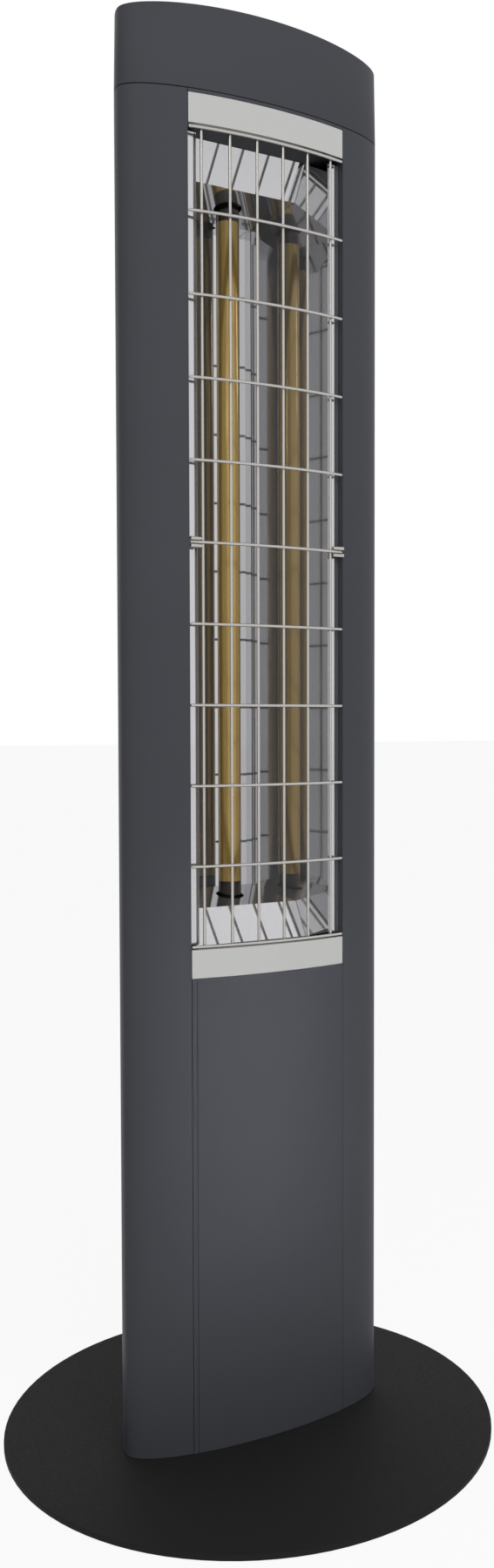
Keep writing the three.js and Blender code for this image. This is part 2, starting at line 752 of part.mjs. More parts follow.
function buildGland() {
  const flangeFront = REAR_Y + SEAT;
  const flangeBack = flangeFront + GLAND_FLANGE_DEPTH;
  const neckBack = flangeBack + GLAND_NECK_DEPTH;
  const body = join(
    rearRod(GLAND_Z, GLAND_INNER_Y, flangeBack, GLAND_THREAD, 16),
    rearRod(GLAND_Z, flangeFront, flangeBack, GLAND_HEX, 6),
    rearRod(GLAND_Z, flangeBack - 1, neckBack, GLAND_NECK, 16),
  );
  const bore = rearRod(GLAND_Z, GLAND_INNER_Y - 1, neckBack + 20, GLAND_BORE, 16);
  add("gland_body", cut(body, bore), BLACK_PLASTIC);
  const domeFront = flangeBack + SEAT;
  const dome = rearRod(GLAND_Z, domeFront, domeFront + DOME_DEPTH, DOME_RADIUS, 16);
  const thread = rearRod(GLAND_Z, domeFront - 1, neckBack + SEAT, GLAND_NECK + SEAT, 16);
  add("gland_dome_nut", cut(dome, thread, bore), BLACK_PLASTIC);
  const [seat] = arc(GLAND_HEX + 3, GLAND_HEX + 3, BACK_THICKNESS, 1, 1);
  const nutBack = seat.y - SEAT;
  const nut = rearRod(GLAND_Z, nutBack - LOCK_NUT_DEPTH, nutBack, GLAND_HEX, 6);
  const nutBore = rearRod(GLAND_Z, nutBack - 10, nutBack + 10, GLAND_THREAD + SEAT, 16);
  add("gland_lock_nut", cut(nut, nutBore), BLACK_PLASTIC);
}

function centredBox(halfX, front, back, halfZ) {
  return box(-halfX, halfX, front, back, SWITCH_Z - halfZ, SWITCH_Z + halfZ);
}

function buildSwitch() {
  const flangeFront = REAR_Y + SEAT;
  const flangeBack = flangeFront + SWITCH_FLANGE_DEPTH;
  const housing = join(
    centredBox(SWITCH_FLANGE_HALF_X, flangeFront, flangeBack, SWITCH_FLANGE_HALF_Z),
    centredBox(SWITCH_BODY_HALF_X, SWITCH_BODY_Y, flangeFront + 1, SWITCH_BODY_HALF_Z),
  );
  const well = centredBox(SWITCH_WELL_HALF_X, SWITCH_WELL_Y, flangeBack + 1, SWITCH_WELL_HALF_Z);
  add("switch_housing", cut(housing, well), BLACK_PLASTIC);
  const rocker = [
    new THREE.Vector2(-4, -7.5),
    new THREE.Vector2(1.5, -8.8),
    new THREE.Vector2(4, -8.6),
    new THREE.Vector2(2.6, 0),
    new THREE.Vector2(4, 8.6),
    new THREE.Vector2(1.5, 8.8),
    new THREE.Vector2(-4, 7.5),
  ];
  const body = prismX(rocker, ROCKER_HALF_X).rotateX(THREE.MathUtils.degToRad(-ROCKER_TILT));
  add("switch_rocker", body.translate(0, ROCKER_PIVOT_Y, SWITCH_Z), BLACK_PLASTIC);
}

// Reflector trough

function rightReflector() {
  const fold = [
    new THREE.Vector2(MOUTH_X, FLANGE_Y),
    new THREE.Vector2(FACET_X, FACET_Y),
    new THREE.Vector2(TROUGH_BACK_X + SEAT, TROUGH_BACK_Y - SEAT),
  ];
  const flank = prism(folded(fold, SHEET), SHEET_BOTTOM, SHEET_TOP);
  const flangeBack = FLANGE_Y + SHEET;
  const flange = box(MOUTH_X, JAMB_X - SEAT, FLANGE_Y, flangeBack, FLANGE_BOTTOM, FLANGE_TOP);
  const upperCorner = [
    new THREE.Vector2(flangeBack + 0.1, CORNER_CUT_Z),
    new THREE.Vector2(END_FRONT_Y, SHEET_TOP),
    new THREE.Vector2(END_FRONT_Y, SHEET_TOP + 20),
    new THREE.Vector2(FLANGE_Y - 3, SHEET_TOP + 20),
    new THREE.Vector2(FLANGE_Y - 3, FLANGE_TOP),
    new THREE.Vector2(flangeBack + 0.1, FLANGE_TOP),
  ];
  const lowerCorner = [
    new THREE.Vector2(FLANGE_Y - 3, FLANGE_BOTTOM),
    new THREE.Vector2(FLANGE_Y - 3, SHEET_BOTTOM - 20),
    new THREE.Vector2(END_FRONT_Y, SHEET_BOTTOM - 20),
    new THREE.Vector2(END_FRONT_Y, SHEET_BOTTOM),
    new THREE.Vector2(FLANGE_Y, FLANGE_BOTTOM),
  ];
  // Behind the end reflectors the flank is cut away, which leaves a way for the lamp's lead.
  const notchBack = TROUGH_BACK_Y + 20;
  const upperRoom = box(0, 2 * MOUTH_X, NOTCH_FRONT_Y, notchBack, NOTCH_BOTTOM, SHEET_TOP + 20);
  const corners = [upperCorner, lowerCorner].map((corner) => prismX(corner, 2 * JAMB_X));
  return cut(join(flank, flange), ...corners, upperRoom, otherEnd(upperRoom));
}

// The folded sheet that closes the trough at the top.
function endReflector() {
  const line = [
    new THREE.Vector2(END_FRONT_Y, SHEET_TOP),
    new THREE.Vector2(END_FOLD_Y, END_FOLD_Z),
    new THREE.Vector2(TROUGH_BACK_Y - SEAT, END_BACK_Z),
  ];
  const room = [
    new THREE.Vector2(-MOUTH_X + TROUGH_FIT, FLANGE_Y),
    new THREE.Vector2(MOUTH_X - TROUGH_FIT, FLANGE_Y),
    new THREE.Vector2(FACET_X - TROUGH_FIT, FACET_Y),
    new THREE.Vector2(TROUGH_BACK_X - TROUGH_FIT, TROUGH_BACK_Y - SEAT),
    new THREE.Vector2(-TROUGH_BACK_X + TROUGH_FIT, TROUGH_BACK_Y - SEAT),
    new THREE.Vector2(-FACET_X + TROUGH_FIT, FACET_Y),
  ];
  const body = common(prismX(folded(line, -SHEET), 1.3 * MOUTH_X), prism(room, END_BACK_Z - 5, SHEET_TOP));
  return cut(body, upright(0, LAMP_Y, END_BACK_Z - 5, SHEET_TOP + 1, LAMP_HOLE_RADIUS, LAMP_SIDES));
}

function buildReflector() {
  const right = rightReflector();
  add("reflector_right", right, POLISHED);
  add("reflector_left", otherSide(right), POLISHED);
  const half = TROUGH_BACK_X - SEAT;
  const back = TROUGH_BACK_Y + SHEET;
  const backSheetBottom = 2 * WINDOW_MIDDLE - BACK_SHEET_TOP;
  const sheet = box(-half, half, TROUGH_BACK_Y, back, backSheetBottom, BACK_SHEET_TOP);
  add("reflector_back", sheet, POLISHED);
  add("upper_end_reflector", endReflector(), POLISHED);
  add("lower_end_reflector", otherEnd(endReflector()), POLISHED);
}

// Lamp: a gold coated sleeve round a quartz heating tube, held by a ceramic at each end

function ceramicCap() {
  const bore = QUARTZ_RADIUS + SEAT;
  const spigot = SLEEVE_RADIUS - SLEEVE_WALL - SEAT;
  const shoulder = SLEEVE_TOP + SEAT;
  const ring = [
    [bore, SPIGOT_BOTTOM],
    [spigot, SPIGOT_BOTTOM],
    [spigot, shoulder],
    [CERAMIC_RADIUS, shoulder],
    [CERAMIC_RADIUS, CERAMIC_TOP],
    [WIRE_HOLE, CERAMIC_TOP],
    [WIRE_HOLE, QUARTZ_TOP + SEAT],
    [bore, QUARTZ_TOP + SEAT],
    [bore, SPIGOT_BOTTOM],
  ];
  return turned(ring, LAMP_SIDES).translate(0, LAMP_Y, 0);
}

function lampBracket() {
  const top = BRACKET_Z + BRACKET_THICKNESS;
  const armBack = BRACKET_FRONT_Y + BRACKET_THICKNESS;
  const flat = box(-BRACKET_HALF, BRACKET_HALF, BRACKET_FRONT_Y, BRACKET_BACK_Y, BRACKET_Z, top);
  const arm = box(-BRACKET_HALF, BRACKET_HALF, BRACKET_FRONT_Y, armBack, BRACKET_Z, CARRIER_Z - SEAT);
  const hole = upright(0, LAMP_Y, BRACKET_Z - 1, top + 1, CERAMIC_RADIUS + SEAT, LAMP_SIDES);
  return cut(join(flat, arm), hole);
}

function filament() {
  const bottom = 2 * WINDOW_MIDDLE - FILAMENT_TOP;
  const parts = [upright(0, LAMP_Y, bottom, FILAMENT_TOP, FILAMENT_RADIUS, 8)];
  const reach = FILAMENT_TOP - WINDOW_MIDDLE - SUPPORT_MARGIN;
  for (let i = 0; i < SUPPORT_COUNT; i++) {
    const z = WINDOW_MIDDLE + reach * ((2 * i) / (SUPPORT_COUNT - 1) - 1);
    const radius = QUARTZ_RADIUS - QUARTZ_WALL - SEAT;
    parts.push(upright(0, LAMP_Y, z, z + SUPPORT_THICKNESS, radius, 12));
  }
  return join(...parts);
}

function lampTube(radius, wall, top) {
  const bottom = 2 * WINDOW_MIDDLE - top;
  return tube(radius, radius - wall, bottom, top, LAMP_SIDES).translate(0, LAMP_Y, 0);
}

function buildLamp() {
  add("lamp_sleeve", lampTube(SLEEVE_RADIUS, SLEEVE_WALL, SLEEVE_TOP), GOLD);
  add("quartz_tube", lampTube(QUARTZ_RADIUS, QUARTZ_WALL, QUARTZ_TOP), QUARTZ);
  add("heating_filament", filament(), TUNGSTEN);
  add("upper_ceramic_cap", ceramicCap(), CERAMIC);
  add("lower_ceramic_cap", otherEnd(ceramicCap()), CERAMIC);
  add("upper_lamp_bracket", lampBracket(), ZINC);
  add("lower_lamp_bracket", otherEnd(lampBracket()), ZINC);
}

// Wire guard and the clips that hold its middle wire

function guard() {
  const parts = [];
  const bottom = GUARD_MIDDLE_Z - UPRIGHT_HALF;
  const top = GUARD_MIDDLE_Z + UPRIGHT_HALF;
  for (let i = 0; i < UPRIGHT_COUNT; i++) {
    const x = (i - (UPRIGHT_COUNT - 1) / 2) * UPRIGHT_PITCH;
    const [spot] = arc(x, x, UPRIGHT_INSET, -1, 1);
    parts.push(upright(spot.x, spot.y, bottom, top, WIRE_RADIUS, WIRE_SIDES));
  }
  for (let i = 0; i < CROSS_COUNT; i++) {
    const z = GUARD_MIDDLE_Z + CROSS_REACH * ((2 * i) / (CROSS_COUNT - 1) - 1);
    const line = arc(-CROSS_HALF, CROSS_HALF, CROSS_INSET, -1, CROSS_STEPS);
    const points = line.map((point) => new THREE.Vector3(point.x, point.y, z));
    parts.push(crossWire(points));
  }
  return join(...parts);
}

// A bent wire with a bend at each point.
function crossWire(points) {
  const path = new THREE.CurvePath();
  for (let i = 1; i < points.length; i++) path.add(new THREE.LineCurve3(points[i - 1], points[i]));
  const options = { steps: CROSS_STEPS, bevelEnabled: false, extrudePath: path };
  return new THREE.ExtrudeGeometry(ringShape(WIRE_RADIUS, WIRE_SIDES), options);
}

// Two bars, above and below the middle wire's end, on a tongue that stands behind the wire.
function rightClip() {
  const end = JAMB_X - SEAT;
  const [wireEnd] = arc(CROSS_HALF, CROSS_HALF, CROSS_INSET, -1, 1);
  const barY = wireEnd.y - CLIP_FORWARD;
  const front = wireEnd.y + WIRE_RADIUS + SEAT;
  const back = front + CLIP_SHEET;
  const shelfHalf = CLIP_RADIUS - 0.6;
  const bars = [-CLIP_RISE, CLIP_RISE].map((rise) => {
    const z = GUARD_MIDDLE_Z + rise;
    const inner = new THREE.Vector3(CLIP_INNER_X, barY, z);
    const bar = rod(inner, new THREE.Vector3(end, barY, z), CLIP_RADIUS, 12);
    return join(bar, box(TONGUE_X, end, barY, back, z - shelfHalf, z + shelfHalf));
  });
  const bottom = GUARD_MIDDLE_Z - CLIP_RISE - shelfHalf;
  const tongue = box(TONGUE_X, end, front, back, bottom, GUARD_MIDDLE_Z + CLIP_RISE + shelfHalf);
  return join(...bars, tongue);
}

function buildGuard() {
  add("wire_guard", guard(), BRIGHT_WIRE);
  add("guard_clip_right", rightClip(), BRIGHT_WIRE);
  add("guard_clip_left", otherSide(rightClip()), BRIGHT_WIRE);
}

// Terminal block, tilt switch and leads

function buildElectrics() {
  const bottom = FOOT_TOP + SEAT;
  const blockTop = bottom + BLOCK_HEIGHT;
  const left = BLOCK_X - BLOCK_LENGTH / 2;
  const front = BLOCK_Y - BLOCK_DEPTH / 2;
  const block = box(left, left + BLOCK_LENGTH, front, front + BLOCK_DEPTH, bottom, blockTop);
  const slits = [-1, 1].map((side) => {
    const x = BLOCK_X + (side * BLOCK_POLE) / 2;
    return box(x - 0.8, x + 0.8, front - 1, front + BLOCK_DEPTH + 1, blockTop - 6, blockTop + 1);
  });
  add("terminal_block", cut(block, ...slits), IVORY);
  const tiltLeft = TILT_X - TILT_WIDTH / 2;
  const tiltFront = BLOCK_Y - TILT_DEPTH / 2;
  const tiltTop = bottom + TILT_HEIGHT;
  const tilt = box(tiltLeft, tiltLeft + TILT_WIDTH, tiltFront, tiltFront + TILT_DEPTH, bottom, tiltTop);
  add("tilt_switch", tilt, BLACK_PLASTIC);

  const start = blockTop + SEAT;
  const capTop = CERAMIC_TOP + SEAT;
  const capBottom = 2 * WINDOW_MIDDLE - capTop;
  const upper = [
    new THREE.Vector3(BLOCK_X + BLOCK_POLE, BLOCK_Y, start),
    new THREE.Vector3(BLOCK_X + BLOCK_POLE, BLOCK_Y, start + LEAD_RISE),
    new THREE.Vector3(LEAD_HOLE_X, LEAD_HOLE_Y, LEAD_TURN_Z),
    new THREE.Vector3(LEAD_HOLE_X, LEAD_HOLE_Y, SHEET_BOTTOM),
    new THREE.Vector3(LEAD_HOLE_X, LEAD_HOLE_Y, WINDOW_MIDDLE),
    new THREE.Vector3(LEAD_HOLE_X, LEAD_HOLE_Y, capTop - 30),
    new THREE.Vector3(0.76 * LEAD_HOLE_X, (LEAD_HOLE_Y + LAMP_Y) / 2, capTop + 15.7),
    new THREE.Vector3(0.4 * LEAD_HOLE_X, LAMP_Y, capTop + 18.7),
    new THREE.Vector3(8, LAMP_Y, capTop + 16.7),
    new THREE.Vector3(0, LAMP_Y, capTop + 6),
    new THREE.Vector3(0, LAMP_Y, capTop),
  ];
  const lower = [
    new THREE.Vector3(BLOCK_X - BLOCK_POLE, BLOCK_Y, start),
    new THREE.Vector3(BLOCK_X - BLOCK_POLE, BLOCK_Y, start + LEAD_RISE),
    new THREE.Vector3(0.15 * BLOCK_X, 0.85 * LAMP_Y, 0.6 * LEAD_CENTRE_Z),
    new THREE.Vector3(0, LAMP_Y, LEAD_CENTRE_Z),
    new THREE.Vector3(0, LAMP_Y, SHEET_BOTTOM - 20),
    new THREE.Vector3(0, LAMP_Y, capBottom),
  ];
  const toSwitch = [
    new THREE.Vector3(BLOCK_X, BLOCK_Y, start),
    new THREE.Vector3(BLOCK_X, BLOCK_Y, start + LEAD_RISE),
    new THREE.Vector3(BLOCK_X / 2, SWITCH_BODY_Y / 2, SWITCH_Z - LEAD_RISE),
    new THREE.Vector3(0, SWITCH_BODY_Y - LEAD_RISE, SWITCH_Z),
    new THREE.Vector3(0, SWITCH_BODY_Y - 4, SWITCH_Z),
    new THREE.Vector3(0, SWITCH_BODY_Y - 0.5, SWITCH_Z),
  ];
  add("lamp_lead_upper", wire(upper, LEAD_RADIUS, LEAD_SIDES), SILICONE);
  add("lamp_lead_lower", wire(lower, LEAD_RADIUS, LEAD_SIDES), SILICONE);
  add("switch_lead", wire(toSwitch, LEAD_RADIUS, LEAD_SIDES), SILICONE);
}

buildBase();
buildFootPlate();
buildProfiles();
buildCarriers();
buildCap();
buildFront();
buildBack();
buildGland();
buildSwitch();
buildReflector();
buildLamp();
buildGuard();
buildElectrics();

export default heater;
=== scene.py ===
"""Looks for the infrared patio heater tower, on its CAD frame.

Laid out as a Blender add-on and run as a script.
"""

import json
import math

import bmesh
import bpy
from bpy.props import (
    FloatProperty,
    FloatVectorProperty,
    IntProperty,
    PointerProperty,
)
from mathutils import Euler, Matrix, Vector


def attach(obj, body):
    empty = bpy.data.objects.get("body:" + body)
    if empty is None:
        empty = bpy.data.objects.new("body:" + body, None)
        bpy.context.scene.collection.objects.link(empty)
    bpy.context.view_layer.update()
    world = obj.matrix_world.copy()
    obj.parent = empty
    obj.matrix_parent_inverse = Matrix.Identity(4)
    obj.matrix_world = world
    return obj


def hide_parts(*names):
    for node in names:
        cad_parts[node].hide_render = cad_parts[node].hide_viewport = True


bl_info = {
    "name": "Infrared patio heater tower",
    "version": (1, 0, 0),
    "blender": (4, 5, 0),
    "location": "3D View > Sidebar > Heater",
    "description": "Builds the looks of an infrared patio heater tower on its CAD frame",
    "category": "Object",
}

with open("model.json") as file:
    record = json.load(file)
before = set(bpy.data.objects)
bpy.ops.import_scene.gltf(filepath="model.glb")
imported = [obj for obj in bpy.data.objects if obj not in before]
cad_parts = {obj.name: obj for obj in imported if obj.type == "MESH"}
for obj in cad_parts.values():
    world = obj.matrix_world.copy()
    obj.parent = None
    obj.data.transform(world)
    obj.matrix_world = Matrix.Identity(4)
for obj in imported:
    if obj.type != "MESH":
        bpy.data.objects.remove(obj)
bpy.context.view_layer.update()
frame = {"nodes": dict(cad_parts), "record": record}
SLOTS = {s["node"]: s["material_slot"] for s in frame["record"]["subparts"]}

MM = 0.001

# The tower's section: half an ellipse in front and a fuller curve behind, about Y = SECTION_Y.
HALF_WIDTH = 172.3 * MM
SECTION_Y = -13 * MM
FRONT_DEPTH = 50.3 * MM
BACK_DEPTH = 114 * MM
FRONT_POWER = 2.0
BACK_POWER = 1.75
WALL = 2.5 * MM

# Heights that several pieces share.
BODY_BOTTOM = 8.3 * MM
BODY_TOP = 1590.5 * MM
CAP_BOTTOM = 1591.5 * MM
CAP_TOP = 1688.5 * MM
CROWN = 8.8 * MM  # from the cap's ends up to its middle
WINDOW_MIDDLE = 1080 * MM
STRIP_INNER = 1552.9 * MM
STRIP_OUTER = 1586.5 * MM
JAMB_X = 103 * MM
JAMB_BACK_Y = -20 * MM
FRONT_HALF = 102.5 * MM
FRONT_SHEET = 2.5 * MM
SEAT = 0.3 * MM
CAP_SIDES = 144


# Settings


def colour(name, description, value):
    """A colour setting with its default as an sRGB hex value."""
    return FloatVectorProperty(
        name=name,
        description=description,
        subtype="COLOR",
        size=3,
        min=0.0,
        max=1.0,
        default=linear(value),
    )


def linear(value):
    """An sRGB hex value as linear red, green and blue."""
    parts = [int(value[i : i + 2], 16) / 255 for i in (1, 3, 5)]
    return tuple(
        p / 12.92 if p <= 0.04045 else ((p + 0.055) / 1.055) ** 2.4 for p in parts
    )


class HeaterFinishSettings(bpy.types.PropertyGroup):
    """Colours of the painted and plated pieces."""

    body: colour("Body", "Anthracite paint of the profiles, cap and panels", "#47494e")
    base: colour("Base", "Black textured coat of the round base plate", "#202021")
    trim: colour("Trim", "Satin aluminium strips above and below the window", "#c8c8c6")
    reflector: colour("Reflector", "Polished aluminium sheets of the trough", "#c8c8ca")
    gold: colour("Gold", "Gold coating of the lamp's sleeve", "#b0924e")
    wire: colour("Wire", "Bright plated wire of the guard", "#bfbcb8")


class HeaterGuardSettings(bpy.types.PropertyGroup):
    """Sizes of the welded wire guard."""

    wire_radius: FloatProperty(
        name="Wire radius",
        description="Radius of the guard's wires",
        default=1.8 * MM,
        min=0.5 * MM,
        max=5 * MM,
        unit="LENGTH",
    )
    uprights: IntProperty(
        name="Uprights",
        description="Number of upright wires",
        default=6,
        min=2,
        max=20,
    )
    upright_pitch: FloatProperty(
        name="Upright pitch",
        description="Distance between neighbouring upright wires",
        default=34.3 * MM,
        min=5 * MM,
        max=100 * MM,
        unit="LENGTH",
    )
    crosses: IntProperty(
        name="Cross wires",
        description="Number of cross wires",
        default=11,
        min=2,
        max=40,
    )
    cross_pitch: FloatProperty(
        name="Cross pitch",
        description="Distance between neighbouring cross wires",
        default=93.86 * MM,
        min=10 * MM,
        max=200 * MM,
        unit="LENGTH",
    )


class HeaterStageSettings(bpy.types.PropertyGroup):
    """Light and floor."""

    key_power: FloatProperty(
        name="Key light",
        description="Power of the large lamp in front, in watts",
        default=46.0,
        min=0.0,
        max=500.0,
    )
    low_power: FloatProperty(
        name="Low light",
        description="Power of the narrow lamp on the front panel, in watts",
        default=0.16,
        min=0.0,
        max=500.0,
    )
    side_power: FloatProperty(
        name="Side light",
        description="Power of the lamp high on the left, in watts",
        default=6.0,
        min=0.0,
        max=500.0,
    )
    world: FloatProperty(
        name="World light",
        description="Strength of the even light from all round",
        default=0.24,
        min=0.0,
        max=3.0,
    )


# Nodes and materials


def add_node(tree, kind, settings=None, **inputs):
    """Adds a node, with its settings, and sets or links its inputs by name."""
    made = tree.nodes.new(kind)
    for key, value in (settings or {}).items():
        setattr(made, key, value)
    for key, value in inputs.items():
        socket = pick(made.inputs, key.replace("_", " "))
        if isinstance(value, bpy.types.NodeSocket):
            tree.links.new(value, socket)
        else:
            socket.default_value = value
    return made


def pick(sockets, name):
    """The socket of that name in any case, or of that number after the word input."""
    if name.startswith("input "):
        return sockets[int(name[6:])]
    return next(s for s in sockets if s.name.lower() == name.lower() and s.enabled)


def new_material(name, base, metallic, roughness, **sockets):
    """A material with a Principled shader. Returns the material, its tree and the shader."""
    material = bpy.data.materials.new(name)
    material.use_nodes = True
    tree = material.node_tree
    tree.nodes.clear()
    shader = add_node(
        tree,
        "ShaderNodeBsdfPrincipled",
        base_color=(*base, 1.0),
        metallic=metallic,
        roughness=roughness,
        **sockets,
    )
    add_node(tree, "ShaderNodeOutputMaterial", surface=shader.outputs["BSDF"])
    return material, tree, shader


def noise(tree, size, stretch=(1, 1, 1), detail=3.0):
    """Noise on object coordinates whose patches are about size across, in metres."""
    place = add_node(tree, "ShaderNodeTexCoord")
    mapped = add_node(
        tree,
        "ShaderNodeMapping",
        vector=place.outputs["Object"],
        scale=tuple(s / size for s in stretch),
    )
    made = add_node(
        tree,
        "ShaderNodeTexNoise",
        vector=mapped.outputs["Vector"],
        scale=1.0,
        detail=detail,
    )
    return made.outputs["Fac"]


def spread(tree, value, low, high):
    """Maps noise to a range. Its middle half fills most of the range."""
    made = add_node(
        tree,
        "ShaderNodeMapRange",
        value=value,
        from_min=0.3,
        from_max=0.7,
        to_min=low,
        to_max=high,
    )
    return made.outputs["Result"]


def tinted(tree, value, base, dark, light):
    """The base colour, made darker and lighter by a value from 0 to 1."""
    made = add_node(
        tree,
        "ShaderNodeMix",
        {"data_type": "RGBA"},
        input_0=value,
        input_6=(*[c * dark for c in base], 1.0),
        input_7=(*[min(c * light, 1.0) for c in base], 1.0),
    )
    return made.outputs[2]


def bump(tree, height, distance, strength):
    """The normal of a surface with this height pattern, distance in metres."""
    made = add_node(
        tree,
        "ShaderNodeBump",
        height=height,
        distance=distance,
        strength=strength,
    )
    return made.outputs["Normal"]


def link(tree, socket, shader, name):
    tree.links.new(socket, shader.inputs[name])


def powder_coat(name, base, roughness, gloss, grain, depth, shift):
    """Powder coat on metal: an even matt skin with a fine orange peel."""
    material, tree, shader = new_material(
        name, base, 0.0, roughness, specular_ior_level=gloss
    )
    peel = noise(tree, grain, detail=2.0)
    cloud = noise(tree, 140 * MM, detail=1.0)
    link(tree, tinted(tree, cloud, base, 1 - shift, 1 + shift), shader, "Base Color")
    link(
        tree,
        spread(tree, peel, roughness - 0.05, roughness + 0.05),
        shader,
        "Roughness",
    )
    link(tree, bump(tree, peel, depth, 0.35), shader, "Normal")
    return material


def body_paint():
    """Anthracite polyester powder coat, satin, on extruded aluminium and steel sheet.
    Its peel is about 0.4 mm across on the real one, and is drawn 1.2 mm across to show."""
    base = tuple(bpy.context.scene.heater_finish.body)
    return powder_coat(
        "anthracite_paint", base, 0.45, 0.1, 1.2 * MM, 0.02 * MM, 0.04
    )


def base_paint():
    """Black textured powder coat on a steel plate: rough, with grains about 2 mm apart."""
    base = tuple(bpy.context.scene.heater_finish.base)
    material, tree, shader = new_material(
        "black_steel", base, 0.0, 0.72, specular_ior_level=0.15
    )
    grain = noise(tree, 2.2 * MM, detail=4.0)
    link(tree, tinted(tree, grain, base, 0.55, 1.6), shader, "Base Color")
    link(tree, bump(tree, grain, 0.12 * MM, 0.5), shader, "Normal")
    link(tree, spread(tree, grain, 0.62, 0.82), shader, "Roughness")
    return material


def brushed(name, base, roughness, stretch, pitch):
    """Brushed metal: fine lines along one axis, which widen the highlight across them."""
    material, tree, shader = new_material(name, base, 1.0, roughness)
    lines = noise(tree, pitch, stretch=stretch, detail=3.0)
    link(tree, tinted(tree, lines, base, 0.9, 1.06), shader, "Base Color")
    link(
        tree,
        spread(tree, lines, roughness - 0.06, roughness + 0.08),
        shader,
        "Roughness",
    )
    link(tree, bump(tree, lines, 0.01 * MM, 0.3), shader, "Normal")
    return material


def trim_aluminium():
    """Satin anodised aluminium strip, brushed along its length. Lines 0.6 mm apart."""
    base = tuple(bpy.context.scene.heater_finish.trim)
    return brushed("satin_aluminium", base, 0.42, (0.02, 1, 1), 0.6 * MM)


def reflector_aluminium():
    """Bright rolled aluminium sheet: a mirror with faint rolling waves, 90 mm and more long,
    and a slight haze."""
    base = tuple(bpy.context.scene.heater_finish.reflector)
    material, tree, shader = new_material("polished_aluminium", base, 0.9, 0.03)
    waves = noise(tree, 90 * MM, stretch=(1, 1, 0.35), detail=0.0)
    streaks = noise(tree, 3 * MM, stretch=(1, 1, 0.02), detail=2.0)
    link(tree, spread(tree, streaks, 0.02, 0.05), shader, "Roughness")
    link(tree, tinted(tree, streaks, base, 0.95, 1.04), shader, "Base Color")
    link(tree, bump(tree, waves, 0.3 * MM, 0.12), shader, "Normal")
    return material


def gold_coating():
    """Gold film fired on a quartz sleeve: a warm mirror that scatters a little, so its
    dark side stays brown. The last 24 mm at each end are painted dark brown, a painted
    shade where the sleeve passes through the end reflectors."""
    # Half the length of the gold band about the window's middle; beyond it each end is painted
    # shade.
    gold_band_half = 407.4 * MM
    base = tuple(bpy.context.scene.heater_finish.gold)
    material, tree, shader = new_material(
        "gold_coating", base, 0.6, 0.24, coat_weight=0.6, coat_roughness=0.1
    )
    film = noise(tree, 30 * MM, stretch=(1, 1, 0.05), detail=4.0)
    gold = tinted(tree, film, base, 0.82, 1.15)
    place = add_node(tree, "ShaderNodeTexCoord").outputs["Object"]
    height = add_node(tree, "ShaderNodeSeparateXYZ", vector=place).outputs["Z"]
    gold_band = add_node(
        tree,
        "ShaderNodeMath",
        {"operation": "COMPARE"},
        input_0=height,
        input_1=WINDOW_MIDDLE,
        input_2=gold_band_half,
    ).outputs["Value"]
    # Painted shade: outside the gold band the sleeve is coloured dark brown #2a231b, for the
    # shade where it passes through the end reflectors.
    ends = add_node(
        tree,
        "ShaderNodeMix",
        {"data_type": "RGBA"},
        input_0=gold_band,
        input_6=(*linear("#2a231b"), 1.0),
        input_7=gold,
    )
    link(tree, ends.outputs[2], shader, "Base Color")
    link(tree, spread(tree, film, 0.14, 0.26), shader, "Roughness")
    return material


def guard_wire():
    """Nickel plated steel wire: drawn, bright, with faint draw lines."""
    base = tuple(bpy.context.scene.heater_finish.wire)
    return brushed("guard_wire", base, 0.2, (0.4, 1, 0.4), 0.9 * MM)


def zinc_steel():
    """Zinc plated steel: dull bright metal with a cloudy crystalline look, 6 mm patches."""
    base = linear("#a6a9ad")
    material, tree, shader = new_material("zinc_steel", base, 1.0, 0.42)
    cloud = noise(tree, 6 * MM, detail=4.0)
    link(tree, tinted(tree, cloud, base, 0.85, 1.08), shader, "Base Color")
    link(tree, spread(tree, cloud, 0.34, 0.5), shader, "Roughness")
    return material


def ceramic():
    """Steatite ceramic, unglazed: off-white, matt and slightly grainy."""
    base = linear("#ded8cb")
    material, tree, shader = new_material("ceramic", base, 0.0, 0.68)
    grain = noise(tree, 0.9 * MM, detail=3.0)
    link(tree, tinted(tree, grain, base, 0.93, 1.03), shader, "Base Color")
    link(tree, bump(tree, grain, 0.03 * MM, 0.3), shader, "Normal")
    return material


def quartz():
    """Clear quartz glass tube with faint draw lines."""
    material, tree, shader = new_material(
        "quartz", linear("#eef2f4"), 0.0, 0.03, ior=1.46, transmission_weight=1.0
    )
    lines = noise(tree, 2 * MM, stretch=(1, 1, 0.05), detail=1.0)
    link(tree, bump(tree, lines, 0.02 * MM, 0.15), shader, "Normal")
    return material


def tungsten():
    """Drawn tungsten: dark grey metal, dulled by heat in bands."""
    base = linear("#6f6c66")
    material, tree, shader = new_material("tungsten", base, 1.0, 0.42)
    bands = noise(tree, 8 * MM, stretch=(0.2, 0.2, 1), detail=2.0)
    link(tree, tinted(tree, bands, base, 0.75, 1.15), shader, "Base Color")
    return material


def moulded(name, value, roughness, grain):
    """Moulded plastic or rubber: an even colour with a fine spark-eroded grain."""
    base = linear(value)
    material, tree, shader = new_material(name, base, 0.0, roughness)
    skin = noise(tree, grain, detail=2.0)
    link(tree, tinted(tree, skin, base, 0.9, 1.1), shader, "Base Color")
    link(
        tree,
        spread(tree, skin, roughness - 0.06, roughness + 0.06),
        shader,
        "Roughness",
    )
    link(tree, bump(tree, skin, 0.03 * MM, 0.3), shader, "Normal")
    return material


def get_material(name):
    """The material of a record slot, made the first time it is asked for."""
    made = bpy.data.materials.get(name)
    return made if made and made.get("heater") else tagged(MAKERS[name]())


def tagged(material):
    material["heater"] = True
    return material


